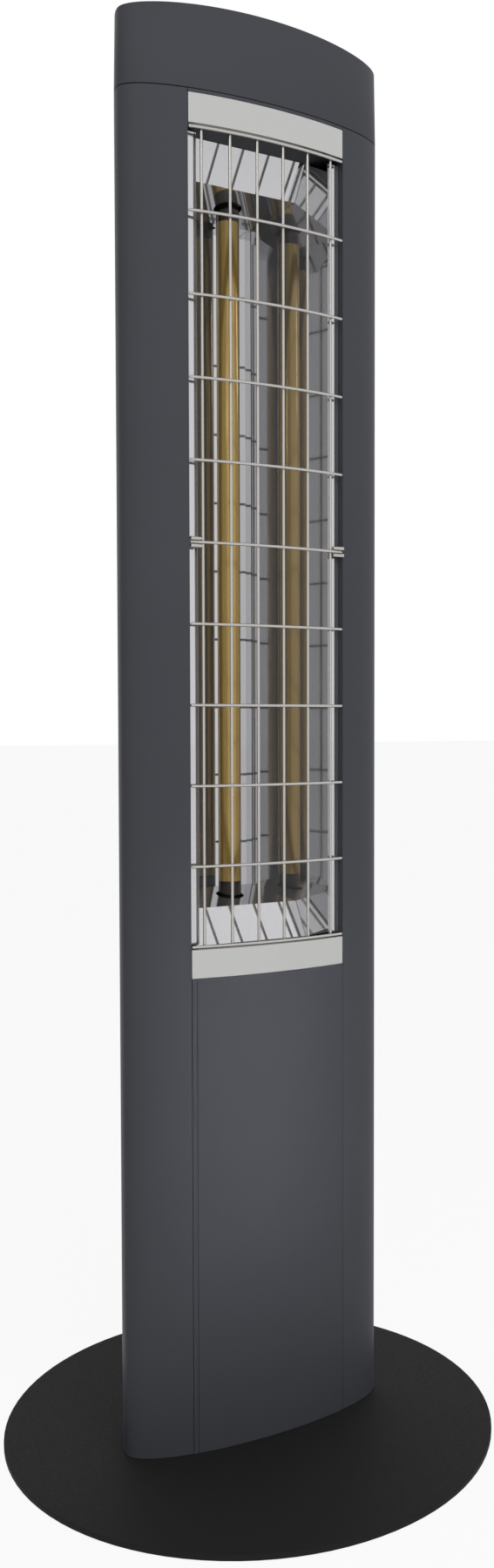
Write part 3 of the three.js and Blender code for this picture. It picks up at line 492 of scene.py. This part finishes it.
MAKERS = {
    "anthracite_paint": body_paint,
    "black_steel": base_paint,
    "satin_aluminium": trim_aluminium,
    "polished_aluminium": reflector_aluminium,
    "gold_coating": gold_coating,
    "quartz": quartz,
    "tungsten": tungsten,
    "guard_wire": guard_wire,
    "zinc_steel": zinc_steel,
    "ceramic": ceramic,
    # EPDM rubber feet, moulded, dull
    "rubber": lambda: moulded("rubber", "#161618", 0.85, 1.5 * MM),
    # polyamide housing parts, moulded, fine grain
    "black_plastic": lambda: moulded("black_plastic", "#19191b", 0.48, 0.8 * MM),
    # urea terminal block, moulded, smooth
    "ivory_plastic": lambda: moulded("ivory_plastic", "#d8d2c0", 0.4, 1.2 * MM),
    # silicone insulated leads, extruded, soft sheen
    "silicone_lead": lambda: moulded("silicone_lead", "#9a3f28", 0.5, 1.0 * MM),
}


def dress(*nodes):
    """Gives CAD nodes that stay in view the material of their record slot."""
    for node in nodes:
        held = frame["nodes"][node]
        material = get_material(SLOTS[node])
        if not held.material_slots:
            held.data.materials.append(material)
        for place in held.material_slots:
            place.material = material


# Shapes


def section_point(angle):
    """A point of the tower's outline. Angle 0 is at +X, and a quarter turn is at the back."""
    in_front = math.sin(angle) < 0
    power = 2 / (FRONT_POWER if in_front else BACK_POWER)
    depth = FRONT_DEPTH if in_front else BACK_DEPTH
    across, deep = math.cos(angle), math.sin(angle)
    x = HALF_WIDTH * math.copysign(abs(across) ** power, across)
    return Vector((x, SECTION_Y + depth * math.copysign(abs(deep) ** power, deep)))


def inset_point(angle, inset):
    along = (section_point(angle + 0.01) - section_point(angle - 0.01)).normalized()
    return section_point(angle) + inset * Vector((-along.y, along.x))


def angle_at(x, inset, side):
    """The angle at which the inset outline passes X, in front (side -1) or behind (side 1)."""
    outer, inner = 0.001, math.pi / 2
    for _ in range(40):
        middle = (outer + inner) / 2
        if inset_point(side * middle, inset).x > x:
            outer = middle
        else:
            inner = middle
    return side * outer


def arc(start, end, inset, side, steps):
    """Points of the inset outline from one X to another, in front or behind."""
    points = []
    for i in range(steps + 1):
        x = start + (end - start) * i / steps
        point = inset_point(angle_at(abs(x), inset, side), inset)
        points.append(Vector((math.copysign(point.x, x), point.y)))
    return points


def side_arc(front_x, back_x, inset, steps):
    """Points of the inset outline round the right-hand side."""
    start, end = angle_at(front_x, inset, -1), angle_at(back_x, inset, 1)
    return [
        inset_point(start + (end - start) * i / steps, inset) for i in range(steps + 1)
    ]


def outline(inset, count):
    return [inset_point(math.tau * (i + 0.5) / count, inset) for i in range(count)]


def finish_mesh(made, name, material, body, crease=28):
    """Makes an object of a bmesh, smooth but for edges over the crease angle in degrees."""
    bmesh.ops.recalc_face_normals(made, faces=made.faces)
    for face in made.faces:
        face.smooth = True
    for edge in made.edges:
        edge.smooth = edge.calc_face_angle(0.0) < math.radians(crease)
    mesh = bpy.data.meshes.new(name)
    made.to_mesh(mesh)
    made.free()
    return placed(mesh, name, material, body)


def placed(mesh, name, material, body):
    """Links a mesh as a piece with one material that rides on a body."""
    mesh.materials.clear()
    mesh.materials.append(get_material(material))
    piece = bpy.data.objects.new(name, mesh)
    bpy.context.scene.collection.objects.link(piece)
    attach(piece, body)
    return piece


def soften(piece, width, segments=2):
    """Rounds a piece's sharp edges."""
    made = piece.modifiers.new("Rounded edges", "BEVEL")
    made.width = width
    made.segments = segments
    made.limit_method = "ANGLE"
    made.angle_limit = math.radians(35)
    made.harden_normals = True
    return piece


def prism(points, bottom, top):
    """A bmesh of a closed outline, given a height."""
    made = bmesh.new()
    low = [made.verts.new((p.x, p.y, bottom)) for p in points]
    high = [made.verts.new((p.x, p.y, top)) for p in points]
    for i in range(len(points)):
        j = (i + 1) % len(points)
        made.faces.new((low[i], low[j], high[j], high[i]))
    made.faces.new(list(reversed(low)))
    made.faces.new(high)
    return made


def bridge(made, rows):
    """Faces between rings of vertices of equal length, each ring to the next."""
    for low, high in zip(rows, rows[1:]):
        for i in range(len(low)):
            j = (i + 1) % len(low)
            made.faces.new((low[i], low[j], high[j], high[i]))


def arch_over(made, ring):
    """Closes a ring with strips from its front half to its back half."""
    last = len(ring) - 1
    for i in range(len(ring) // 2 - 1):
        made.faces.new((ring[i], ring[i + 1], ring[last - 1 - i], ring[last - i]))


def front_sweep(section, half, steps):
    """A bmesh of a closed (inset, height) section that follows the front from side to side."""
    made = bmesh.new()
    lines = [arc(-half, half, inset, -1, steps) for inset, _ in section]
    rows = []
    for i in range(steps + 1):
        rows.append(
            [
                made.verts.new((line[i].x, line[i].y, z))
                for line, (_, z) in zip(lines, section)
            ]
        )
    bridge(made, rows)
    made.faces.new(list(reversed(rows[0])))
    made.faces.new(rows[-1])
    return made


def turned(profile, centre, sides):
    """A bmesh turned about an upright axis, from a closed list of (radius, height)."""
    made = bmesh.new()
    turns = [math.tau * i / sides for i in range(sides)]
    x, y = centre
    rows = []
    for radius, z in profile:
        ring = [(x + radius * math.cos(t), y + radius * math.sin(t), z) for t in turns]
        rows.append([made.verts.new(point) for point in ring])
    bridge(made, [*rows, rows[0]])
    return made


def other_side(made):
    """Mirrors a bmesh in the plane X = 0."""
    bmesh.ops.scale(made, vec=(-1, 1, 1), verts=made.verts)
    bmesh.ops.reverse_faces(made, faces=made.faces)
    return made


def other_end(made):
    """Mirrors a bmesh about the window's middle height."""
    flip = Matrix.Translation((0, 0, 2 * WINDOW_MIDDLE)) @ Matrix.Scale(
        -1, 4, (0, 0, 1)
    )
    bmesh.ops.transform(made, matrix=flip, verts=made.verts)
    bmesh.ops.reverse_faces(made, faces=made.faces)
    return made


def smooth_copy(node, name, body, crease=28):
    """A copy of a CAD node with its loose triangles merged and its curves shaded smooth."""
    held = frame["nodes"][node]
    made = bmesh.new()
    made.from_mesh(held.data)
    bmesh.ops.transform(made, matrix=held.matrix_world, verts=made.verts)
    bmesh.ops.remove_doubles(made, verts=made.verts, dist=0.002 * MM)
    piece = finish_mesh(made, name, SLOTS[node], body, crease)
    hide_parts(node)
    return piece


# The body


class HEATER_OT_profiles(bpy.types.Operator):
    """Makes the two extruded side profiles"""

    bl_idname = "heater.profiles"
    bl_label = "Side profiles"

    def execute(self, context):
        back_edge = 109.5 * MM + SEAT
        ledge_inset = 2 * MM + SEAT  # under the back panel, which is 2 mm thick
        ledge_tip, ledge_root = 92 * MM, 113 * MM
        points = [
            *side_arc(JAMB_X, back_edge, 0, 90),
            *arc(back_edge, ledge_tip, ledge_inset, 1, 6),
            *arc(ledge_tip, ledge_root, ledge_inset + WALL, 1, 6),
            *reversed(side_arc(JAMB_X + WALL, ledge_root, WALL, 60)),
            Vector((JAMB_X + WALL, JAMB_BACK_Y)),
            Vector((JAMB_X, JAMB_BACK_Y)),
        ]
        for side, turn in (("right", lambda m: m), ("left", other_side)):
            made = turn(prism(points, BODY_BOTTOM, BODY_TOP))
            piece = finish_mesh(
                made, f"{side}_profile_shell", "anthracite_paint", "tower"
            )
            soften(piece, 0.5 * MM)
            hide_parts(f"{side}_side_profile")
        return {"FINISHED"}


class HEATER_OT_cap(bpy.types.Operator):
    """Makes the hollow cap with its arched top"""

    bl_idname = "heater.cap"
    bl_label = "Cap"

    def execute(self, context):
        draft, fillet, wall = 1.4 * MM, 2 * MM, 3 * MM
        rim, rim_middle = 0.5 * MM, 0.15 * MM  # of the small round at the lower edge
        steps = 6
        outer = [
            self.flat_ring(rim, CAP_BOTTOM),
            self.flat_ring(rim_middle, CAP_BOTTOM + rim_middle),
            self.flat_ring(0.0, CAP_BOTTOM + rim),
        ]
        for i in range(steps + 1):
            turn = i * math.pi / (2 * steps)
            inset = draft + fillet * (1 - math.cos(turn))
            outer.append(self.arched_ring(inset, fillet * (1 - math.sin(turn))))
        inner = [
            self.arched_ring(wall + draft, wall),
            self.flat_ring(wall, CAP_BOTTOM),
        ]
        made = bmesh.new()
        rows = [[made.verts.new(p) for p in ring] for ring in outer]
        hollow = [[made.verts.new(p) for p in ring] for ring in inner]
        bridge(made, rows)
        bridge(made, hollow)
        bridge(made, [hollow[-1], rows[0]])
        arch_over(made, rows[-1])
        arch_over(made, hollow[0])
        piece = finish_mesh(made, "cap_shell", "anthracite_paint", "tower")
        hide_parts("top_cap")
        return {"FINISHED"}

    def flat_ring(self, inset, height):
        return [Vector((*p, height)) for p in outline(inset, CAP_SIDES)]

    def arched_ring(self, inset, depth):
        """A ring that follows the arched top, at a depth under it."""
        return [
            Vector((*p, CAP_TOP - CROWN * (p.x / HALF_WIDTH) ** 2 - depth))
            for p in outline(inset, CAP_SIDES)
        ]


class HEATER_OT_front(bpy.types.Operator):
    """Makes the front panel, the strips and the folded sheets behind them"""

    bl_idname = "heater.front"
    bl_label = "Front"

    def execute(self, context):
        self.panel()
        self.strips()
        self.sheets()
        return {"FINISHED"}

    def panel(self):
        """The panel, with the fine groove beside its left edge."""
        groove, half_groove, depth = -97 * MM, 0.5 * MM, 0.9 * MM
        points = [
            *arc(-FRONT_HALF, groove - half_groove, 0, -1, 2),
            *arc(groove - half_groove, groove + half_groove, depth, -1, 1),
            *arc(groove + half_groove, FRONT_HALF, 0, -1, 60),
            *arc(FRONT_HALF, -FRONT_HALF, FRONT_SHEET, -1, 40),
        ]
        top = 2 * WINDOW_MIDDLE - STRIP_OUTER - SEAT
        piece = finish_mesh(
            prism(points, BODY_BOTTOM, top), "front_cover", "anthracite_paint", "tower"
        )
        soften(piece, 0.25 * MM)
        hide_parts("front_panel")

    def strips(self):
        lip_top, lip_depth = STRIP_INNER + 1.7 * MM, 6 * MM
        section = [
            (0, STRIP_INNER),
            (0, STRIP_OUTER),
            (FRONT_SHEET, STRIP_OUTER),
            (FRONT_SHEET, lip_top),
            (lip_depth, lip_top),
            (lip_depth, STRIP_INNER),
        ]
        for end, turn in (("upper", lambda m: m), ("lower", other_end)):
            made = turn(front_sweep(section, FRONT_HALF, 60))
            piece = finish_mesh(made, f"{end}_strip", "satin_aluminium", "tower")
            soften(piece, 0.35 * MM)
            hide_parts(f"{end}_trim_strip")

    def sheets(self):
        for node, name in (
            ("window_header", "header_sheet"),
            ("window_sill", "sill_sheet"),
        ):
            smooth_copy(node, name, "tower", crease=20)


class HEATER_OT_back(bpy.types.Operator):
    """Makes the back panel and dresses its screws, gland and switch"""

    bl_idname = "heater.back"
    bl_label = "Back"

    def execute(self, context):
        smooth_copy("back_panel", "back_cover", "tower", crease=20)
        for i in range(4):
            node = f"back_panel_screw_{i + 1}"
            soften(smooth_copy(node, f"back_screw_{i + 1}", "tower"), 0.2 * MM)
        for side in ("left", "right"):
            soften(
                smooth_copy(f"cap_screw_{side}", f"cap_rear_screw_{side}", "tower"),
                0.2 * MM,
            )
        for node, name in (
            ("gland_body", "gland_hex"),
            ("gland_dome_nut", "gland_nut"),
            ("gland_lock_nut", "gland_ring"),
            ("switch_housing", "switch_frame"),
        ):
            soften(smooth_copy(node, name, "tower"), 0.4 * MM)
        soften(smooth_copy("switch_rocker", "rocker_cap", "rocker"), 0.4 * MM)
        return {"FINISHED"}


class HEATER_OT_base(bpy.types.Operator):
    """Dresses the base plate, its pads and what holds the tower on it"""

    bl_idname = "heater.base"
    bl_label = "Base"

    def execute(self, context):
        soften(smooth_copy("base_plate", "base_disc", "tower", crease=30), 0.3 * MM)
        dress(
            *[f"foot_pad_{i + 1}" for i in range(4)],
            *[f"base_bolt_{i + 1}" for i in range(4)],
            "foot_plate",
            "upper_carrier",
            "lower_carrier",
            "top_plate",
            *[
                f"profile_screw_{end}_{side}"
                for end in ("upper", "lower")
                for side in ("left", "right")
            ]
        )
        return {"FINISHED"}


# Window


class HEATER_OT_reflector(bpy.types.Operator):
    """Dresses the polished sheets of the trough"""

    bl_idname = "heater.reflector"
    bl_label = "Reflector"

    def execute(self, context):
        dress(
            "reflector_left",
            "reflector_right",
            "reflector_back",
            "upper_end_reflector",
            "lower_end_reflector",
        )
        return {"FINISHED"}


class HEATER_OT_lamp(bpy.types.Operator):
    """Makes the gold lamp with its ceramics and holders"""

    bl_idname = "heater.lamp"
    bl_label = "Lamp"

    def execute(self, context):
        outer, inner, centre_y = 14.2 * MM, 12.7 * MM, 51.2 * MM
        chamfer = 0.4 * MM
        top = 1511.4 * MM
        low = 2 * WINDOW_MIDDLE - top
        profile = [
            (outer - chamfer, low),
            (outer, low + chamfer),
            (outer, top - chamfer),
            (outer - chamfer, top),
            (inner, top),
            (inner, low),
        ]
        made = turned(profile, (0, centre_y), 64)
        piece = finish_mesh(made, "gold_sleeve", "gold_coating", "tower", crease=50)
        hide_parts("lamp_sleeve")
        for end in ("upper", "lower"):
            smooth_copy(f"{end}_ceramic_cap", f"{end}_ceramic", "tower")
            dress(f"{end}_lamp_bracket", f"lamp_lead_{end}")
        dress(
            "quartz_tube",
            "heating_filament",
            "terminal_block",
            "tilt_switch",
            "switch_lead",
        )
        return {"FINISHED"}


# Wire guard


def guard_tree(material):
    """Geometry nodes for the guard: the input line is one cross wire, drawn at height 0."""
    tree = bpy.data.node_groups.new("Wire guard", "GeometryNodeTree")
    face = tree.interface
    face.new_socket("Geometry", in_out="INPUT", socket_type="NodeSocketGeometry")
    for name, kind in (
        ("Wire radius", "NodeSocketFloat"),
        ("Crosses", "NodeSocketInt"),
        ("Cross pitch", "NodeSocketFloat"),
        ("Lowest cross", "NodeSocketFloat"),
        ("Uprights", "NodeSocketInt"),
        ("Upright pitch", "NodeSocketFloat"),
        ("Leftmost upright", "NodeSocketFloat"),
        ("Upright bottom", "NodeSocketFloat"),
        ("Upright top", "NodeSocketFloat"),
        ("Upright inset", "NodeSocketFloat"),
    ):
        face.new_socket(name, in_out="INPUT", socket_type=kind)
    face.new_socket("Geometry", in_out="OUTPUT", socket_type="NodeSocketGeometry")
    given = add_node(tree, "NodeGroupInput").outputs
    crosses = cross_wires(tree, given)
    uprights = upright_wires(tree, given)
    joined = add_node(tree, "GeometryNodeJoinGeometry")
    for part in crosses + uprights:
        tree.links.new(part, joined.inputs["Geometry"])
    real = add_node(
        tree, "GeometryNodeRealizeInstances", geometry=joined.outputs["Geometry"]
    )
    smooth = add_node(
        tree,
        "GeometryNodeSetShadeSmooth",
        geometry=real.outputs["Geometry"],
        shade_smooth=True,
    )
    dressed = add_node(
        tree,
        "GeometryNodeSetMaterial",
        geometry=smooth.outputs["Geometry"],
        material=material,
    )
    add_node(tree, "NodeGroupOutput", geometry=dressed.outputs["Geometry"])
    return tree


def round_wires(tree, curve, radius):
    """Tubes along the curves, with a ball at each end. Returns both geometries."""
    circle = add_node(
        tree, "GeometryNodeCurvePrimitiveCircle", resolution=12, radius=radius
    )
    tubes = add_node(
        tree,
        "GeometryNodeCurveToMesh",
        curve=curve,
        profile_curve=circle.outputs["Curve"],
        fill_caps=True,
    )
    ends = add_node(tree, "GeometryNodeCurveEndpointSelection")
    ball = add_node(
        tree, "GeometryNodeMeshUVSphere", segments=12, rings=8, radius=radius
    )
    balls = add_node(
        tree,
        "GeometryNodeInstanceOnPoints",
        points=curve,
        selection=ends.outputs["Selection"],
        instance=ball.outputs["Mesh"],
    )
    return [tubes.outputs["Mesh"], balls.outputs["Instances"]]


def vector_of(tree, x=0.0, y=0.0, z=0.0):
    return add_node(tree, "ShaderNodeCombineXYZ", x=x, y=y, z=z).outputs["Vector"]


def row(tree, count, start, step):
    made = add_node(
        tree,
        "GeometryNodeMeshLine",
        {"mode": "OFFSET", "count_mode": "TOTAL"},
        count=count,
        start_location=start,
        offset=step,
    )
    return made.outputs["Mesh"]


def along(tree, points, curve):
    """The curve at each point, as real curves."""
    held = add_node(
        tree, "GeometryNodeInstanceOnPoints", points=points, instance=curve
    )
    real = add_node(
        tree, "GeometryNodeRealizeInstances", geometry=held.outputs["Instances"]
    )
    return real.outputs["Geometry"]


def cross_wires(tree, given):
    line = add_node(tree, "GeometryNodeMeshToCurve", mesh=given["Geometry"])
    places = row(
        tree,
        given["Crosses"],
        vector_of(tree, z=given["Lowest cross"]),
        vector_of(tree, z=given["Cross pitch"]),
    )
    return round_wires(
        tree, along(tree, places, line.outputs["Curve"]), given["Wire radius"]
    )


def upright_wires(tree, given):
    """The uprights stand on the front's ellipse, set back by their inset."""
    places = row(
        tree,
        given["Uprights"],
        vector_of(tree, x=given["Leftmost upright"]),
        vector_of(tree, x=given["Upright pitch"]),
    )
    position = add_node(tree, "GeometryNodeInputPosition").outputs["Position"]
    x = add_node(tree, "ShaderNodeSeparateXYZ", vector=position).outputs["X"]
    depth = on_ellipse(tree, x)
    y = add_node(
        tree,
        "ShaderNodeMath",
        {"operation": "ADD"},
        input_0=depth,
        input_1=given["Upright inset"],
    ).outputs["Value"]
    moved = add_node(
        tree,
        "GeometryNodeSetPosition",
        geometry=places,
        position=vector_of(tree, x=x, y=y),
    )
    line = add_node(
        tree,
        "GeometryNodeCurvePrimitiveLine",
        start=vector_of(tree, z=given["Upright bottom"]),
        end=vector_of(tree, z=given["Upright top"]),
    )
    curves = along(tree, moved.outputs["Geometry"], line.outputs["Curve"])
    return round_wires(tree, curves, given["Wire radius"])


def on_ellipse(tree, x):
    """The front's Y at X: SECTION_Y - FRONT_DEPTH * sqrt(1 - (X / HALF_WIDTH)^2)."""

    def math_node(operation, first, second=0.0):
        made = add_node(
            tree,
            "ShaderNodeMath",
            {"operation": operation},
            input_0=first,
            input_1=second,
        )
        return made.outputs["Value"]

    share = math_node("DIVIDE", x, HALF_WIDTH)
    left = math_node("SUBTRACT", 1.0, math_node("MULTIPLY", share, share))
    return math_node(
        "SUBTRACT", SECTION_Y, math_node("MULTIPLY", math_node("SQRT", left), FRONT_DEPTH)
    )


def baked(piece, tree, values, name):
    """Runs a tree on an object and returns its result as a plain mesh."""
    modifier = piece.modifiers.new(tree.name, "NODES")
    modifier.node_group = tree
    for item in tree.interface.items_tree:
        if item.item_type == "SOCKET" and item.name in values:
            modifier[item.identifier] = values[item.name]
    bpy.context.view_layer.update()
    evaluated = piece.evaluated_get(bpy.context.evaluated_depsgraph_get())
    mesh = bpy.data.meshes.new_from_object(evaluated)
    mesh.name = name
    return mesh


class HEATER_OT_guard(bpy.types.Operator):
    """Makes the welded wire guard and its clips"""

    bl_idname = "heater.guard"
    bl_label = "Wire guard"

    def execute(self, context):
        settings = context.scene.heater_guard
        cross_half, cross_inset, steps = 100.6 * MM, 1 * MM, 40
        line = arc(-cross_half, cross_half, cross_inset, -1, steps)
        mesh = bpy.data.meshes.new("cross_line")
        mesh.from_pydata(
            [(p.x, p.y, 0) for p in line], [(i, i + 1) for i in range(steps)], []
        )
        source = bpy.data.objects.new("cross_line", mesh)
        context.scene.collection.objects.link(source)
        middle, upright_half = 1079.7 * MM, 468.7 * MM
        values = {
            "Wire radius": settings.wire_radius,
            "Crosses": settings.crosses,
            "Cross pitch": settings.cross_pitch,
            "Lowest cross": middle - settings.cross_pitch * (settings.crosses - 1) / 2,
            "Uprights": settings.uprights,
            "Upright pitch": settings.upright_pitch,
            "Leftmost upright": -settings.upright_pitch * (settings.uprights - 1) / 2,
            "Upright bottom": middle - upright_half,
            "Upright top": middle + upright_half,
            "Upright inset": 4.5 * MM,
        }
        made = baked(source, guard_tree(get_material("guard_wire")), values, "guard")
        bpy.data.objects.remove(source)
        guard = placed(made, "guard", "guard_wire", "guard")
        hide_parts("wire_guard")
        for side in ("left", "right"):
            piece = smooth_copy(f"guard_clip_{side}", f"spring_pin_{side}", "tower")
            soften(piece, 0.3 * MM)
        return {"FINISHED"}


# Stage


class HEATER_OT_stage(bpy.types.Operator):
    """Makes the floor, the lights, the world and the camera"""

    bl_idname = "heater.stage"
    bl_label = "Stage"

    def execute(self, context):
        self.floor(context)
        self.world(context)
        self.lights(context)
        self.camera(context)
        context.scene.view_settings.view_transform = "Standard"
        return {"FINISHED"}

    def seen(self, tree):
        """1 for rays that show the background: camera, glossy and transmission rays."""
        path = add_node(tree, "ShaderNodeLightPath").outputs
        first = add_node(
            tree,
            "ShaderNodeMath",
            {"operation": "MAXIMUM"},
            input_0=path["Is Camera Ray"],
            input_1=path["Is Glossy Ray"],
        )
        return add_node(
            tree,
            "ShaderNodeMath",
            {"operation": "MAXIMUM"},
            input_0=first.outputs["Value"],
            input_1=path["Is Transmission Ray"],
        ).outputs["Value"]

    def floor(self, context):
        """Matt white floor. Most of its white is its own, and the rest takes the shadow."""
        half_size, own_share = 40, 0.92
        made = bmesh.new()
        bmesh.ops.create_grid(made, x_segments=1, y_segments=1, size=half_size)
        mesh = bpy.data.meshes.new("floor")
        made.to_mesh(mesh)
        made.free()
        floor = bpy.data.objects.new("floor", mesh)
        context.scene.collection.objects.link(floor)
        material, tree, shader = new_material("floor_white", (0.9, 0.9, 0.9), 0.0, 0.9)
        glow = add_node(tree, "ShaderNodeEmission", color=(1, 1, 1, 1), strength=1.0)
        share = add_node(
            tree,
            "ShaderNodeMath",
            {"operation": "MULTIPLY"},
            input_0=self.seen(tree),
            input_1=own_share,
        )
        both = add_node(
            tree,
            "ShaderNodeMixShader",
            input_0=share.outputs["Value"],
            input_1=shader.outputs["BSDF"],
            input_2=glow.outputs["Emission"],
        )
        output = next(n for n in tree.nodes if n.type == "OUTPUT_MATERIAL")
        tree.links.new(both.outputs["Shader"], output.inputs["Surface"])
        mesh.materials.append(material)

    def world(self, context):
        world = bpy.data.worlds.new("studio")
        world.use_nodes = True
        tree = world.node_tree
        tree.nodes.clear()
        level = add_node(
            tree,
            "ShaderNodeMapRange",
            value=self.seen(tree),
            to_min=context.scene.heater_stage.world,
            to_max=1.0,
        )
        light = add_node(
            tree,
            "ShaderNodeBackground",
            color=(1, 1, 1, 1),
            strength=level.outputs["Result"],
        )
        add_node(tree, "ShaderNodeOutputWorld", surface=light.outputs["Background"])
        context.scene.world = world

    def lamp(self, context, name, power, size, place, target, mirrored, spread=180):
        """A soft box whose beam is spread degrees wide. One that isn't mirrored is left
        out of reflections."""
        data = bpy.data.lights.new(name, "AREA")
        data.shape = "RECTANGLE"
        data.size, data.size_y = size
        data.energy = power
        data.spread = math.radians(spread)
        lamp = bpy.data.objects.new(name, data)
        context.scene.collection.objects.link(lamp)
        lamp.location = place
        aim = Vector(target) - Vector(place)
        lamp.rotation_euler = aim.to_track_quat("-Z", "Y").to_euler()
        lamp.visible_glossy = mirrored

    def lights(self, context):
        settings = context.scene.heater_stage
        self.lamp(
            context,
            "key",
            settings.key_power,
            (2.0, 2.0),
            (-0.3, -2.7, 2.0),
            (0, 0, 1.2),
            mirrored=False,
        )
        self.lamp(
            context,
            "low",
            settings.low_power,
            (0.05, 0.45),
            (-0.35, -1.5, 0.75),
            (-0.01, -0.06, 0.45),
            mirrored=False,
            spread=15,
        )
        self.lamp(
            context,
            "side",
            settings.side_power,
            (0.5, 0.8),
            (-2.0, -1.8, 2.9),
            (0, 0, 1.6),
            mirrored=True,
        )

    def camera(self, context):
        """The camera that the photograph's outlines were fitted to, for a 567 x 1801 frame."""
        focal, centre_x, centre_y = 1615.3, 389.0, 893.8
        width, height = 567, 1801
        data = bpy.data.cameras.new("camera")
        data.sensor_width = 36
        data.sensor_fit = "AUTO"
        data.lens = focal / height * data.sensor_width
        data.shift_x = (width / 2 - centre_x) / height
        data.shift_y = (centre_y - height / 2) / height
        data.clip_start, data.clip_end = 0.05, 100
        camera = bpy.data.objects.new("camera", data)
        context.scene.collection.objects.link(camera)
        camera.location = (-0.8034, -1.5297, 0.8787)
        camera.rotation_euler = Euler(
            (math.radians(90 - 2.502), 0, math.radians(-31.39)), "XYZ"
        )
        context.scene.camera = camera


class HEATER_PT_panel(bpy.types.Panel):
    """Lists the heater's settings and pieces"""

    bl_idname = "HEATER_PT_panel"
    bl_label = "Infrared patio heater tower"
    bl_space_type = "VIEW_3D"
    bl_region_type = "UI"
    bl_category = "Heater"

    def draw(self, context):
        scene = context.scene
        for group in (scene.heater_finish, scene.heater_guard, scene.heater_stage):
            box = self.layout.box()
            for name in group.__annotations__:
                box.prop(group, name)
        for operator in OPERATORS:
            self.layout.operator(operator.bl_idname)


GROUPS = (HeaterFinishSettings, HeaterGuardSettings, HeaterStageSettings)
OPERATORS = (
    HEATER_OT_stage,
    HEATER_OT_base,
    HEATER_OT_profiles,
    HEATER_OT_cap,
    HEATER_OT_front,
    HEATER_OT_back,
    HEATER_OT_reflector,
    HEATER_OT_lamp,
    HEATER_OT_guard,
)


def register():
    for made in (*GROUPS, *OPERATORS, HEATER_PT_panel):
        bpy.utils.register_class(made)
    scene = bpy.types.Scene
    scene.heater_finish = PointerProperty(type=HeaterFinishSettings)
    scene.heater_guard = PointerProperty(type=HeaterGuardSettings)
    scene.heater_stage = PointerProperty(type=HeaterStageSettings)


def unregister():
    scene = bpy.types.Scene
    del scene.heater_finish, scene.heater_guard, scene.heater_stage
    for made in reversed((*GROUPS, *OPERATORS, HEATER_PT_panel)):
        bpy.utils.unregister_class(made)


def main():
    register()
    for operator in OPERATORS:
        group, name = operator.bl_idname.split(".")
        getattr(getattr(bpy.ops, group), name)()


if __name__ == "__main__":
    main()
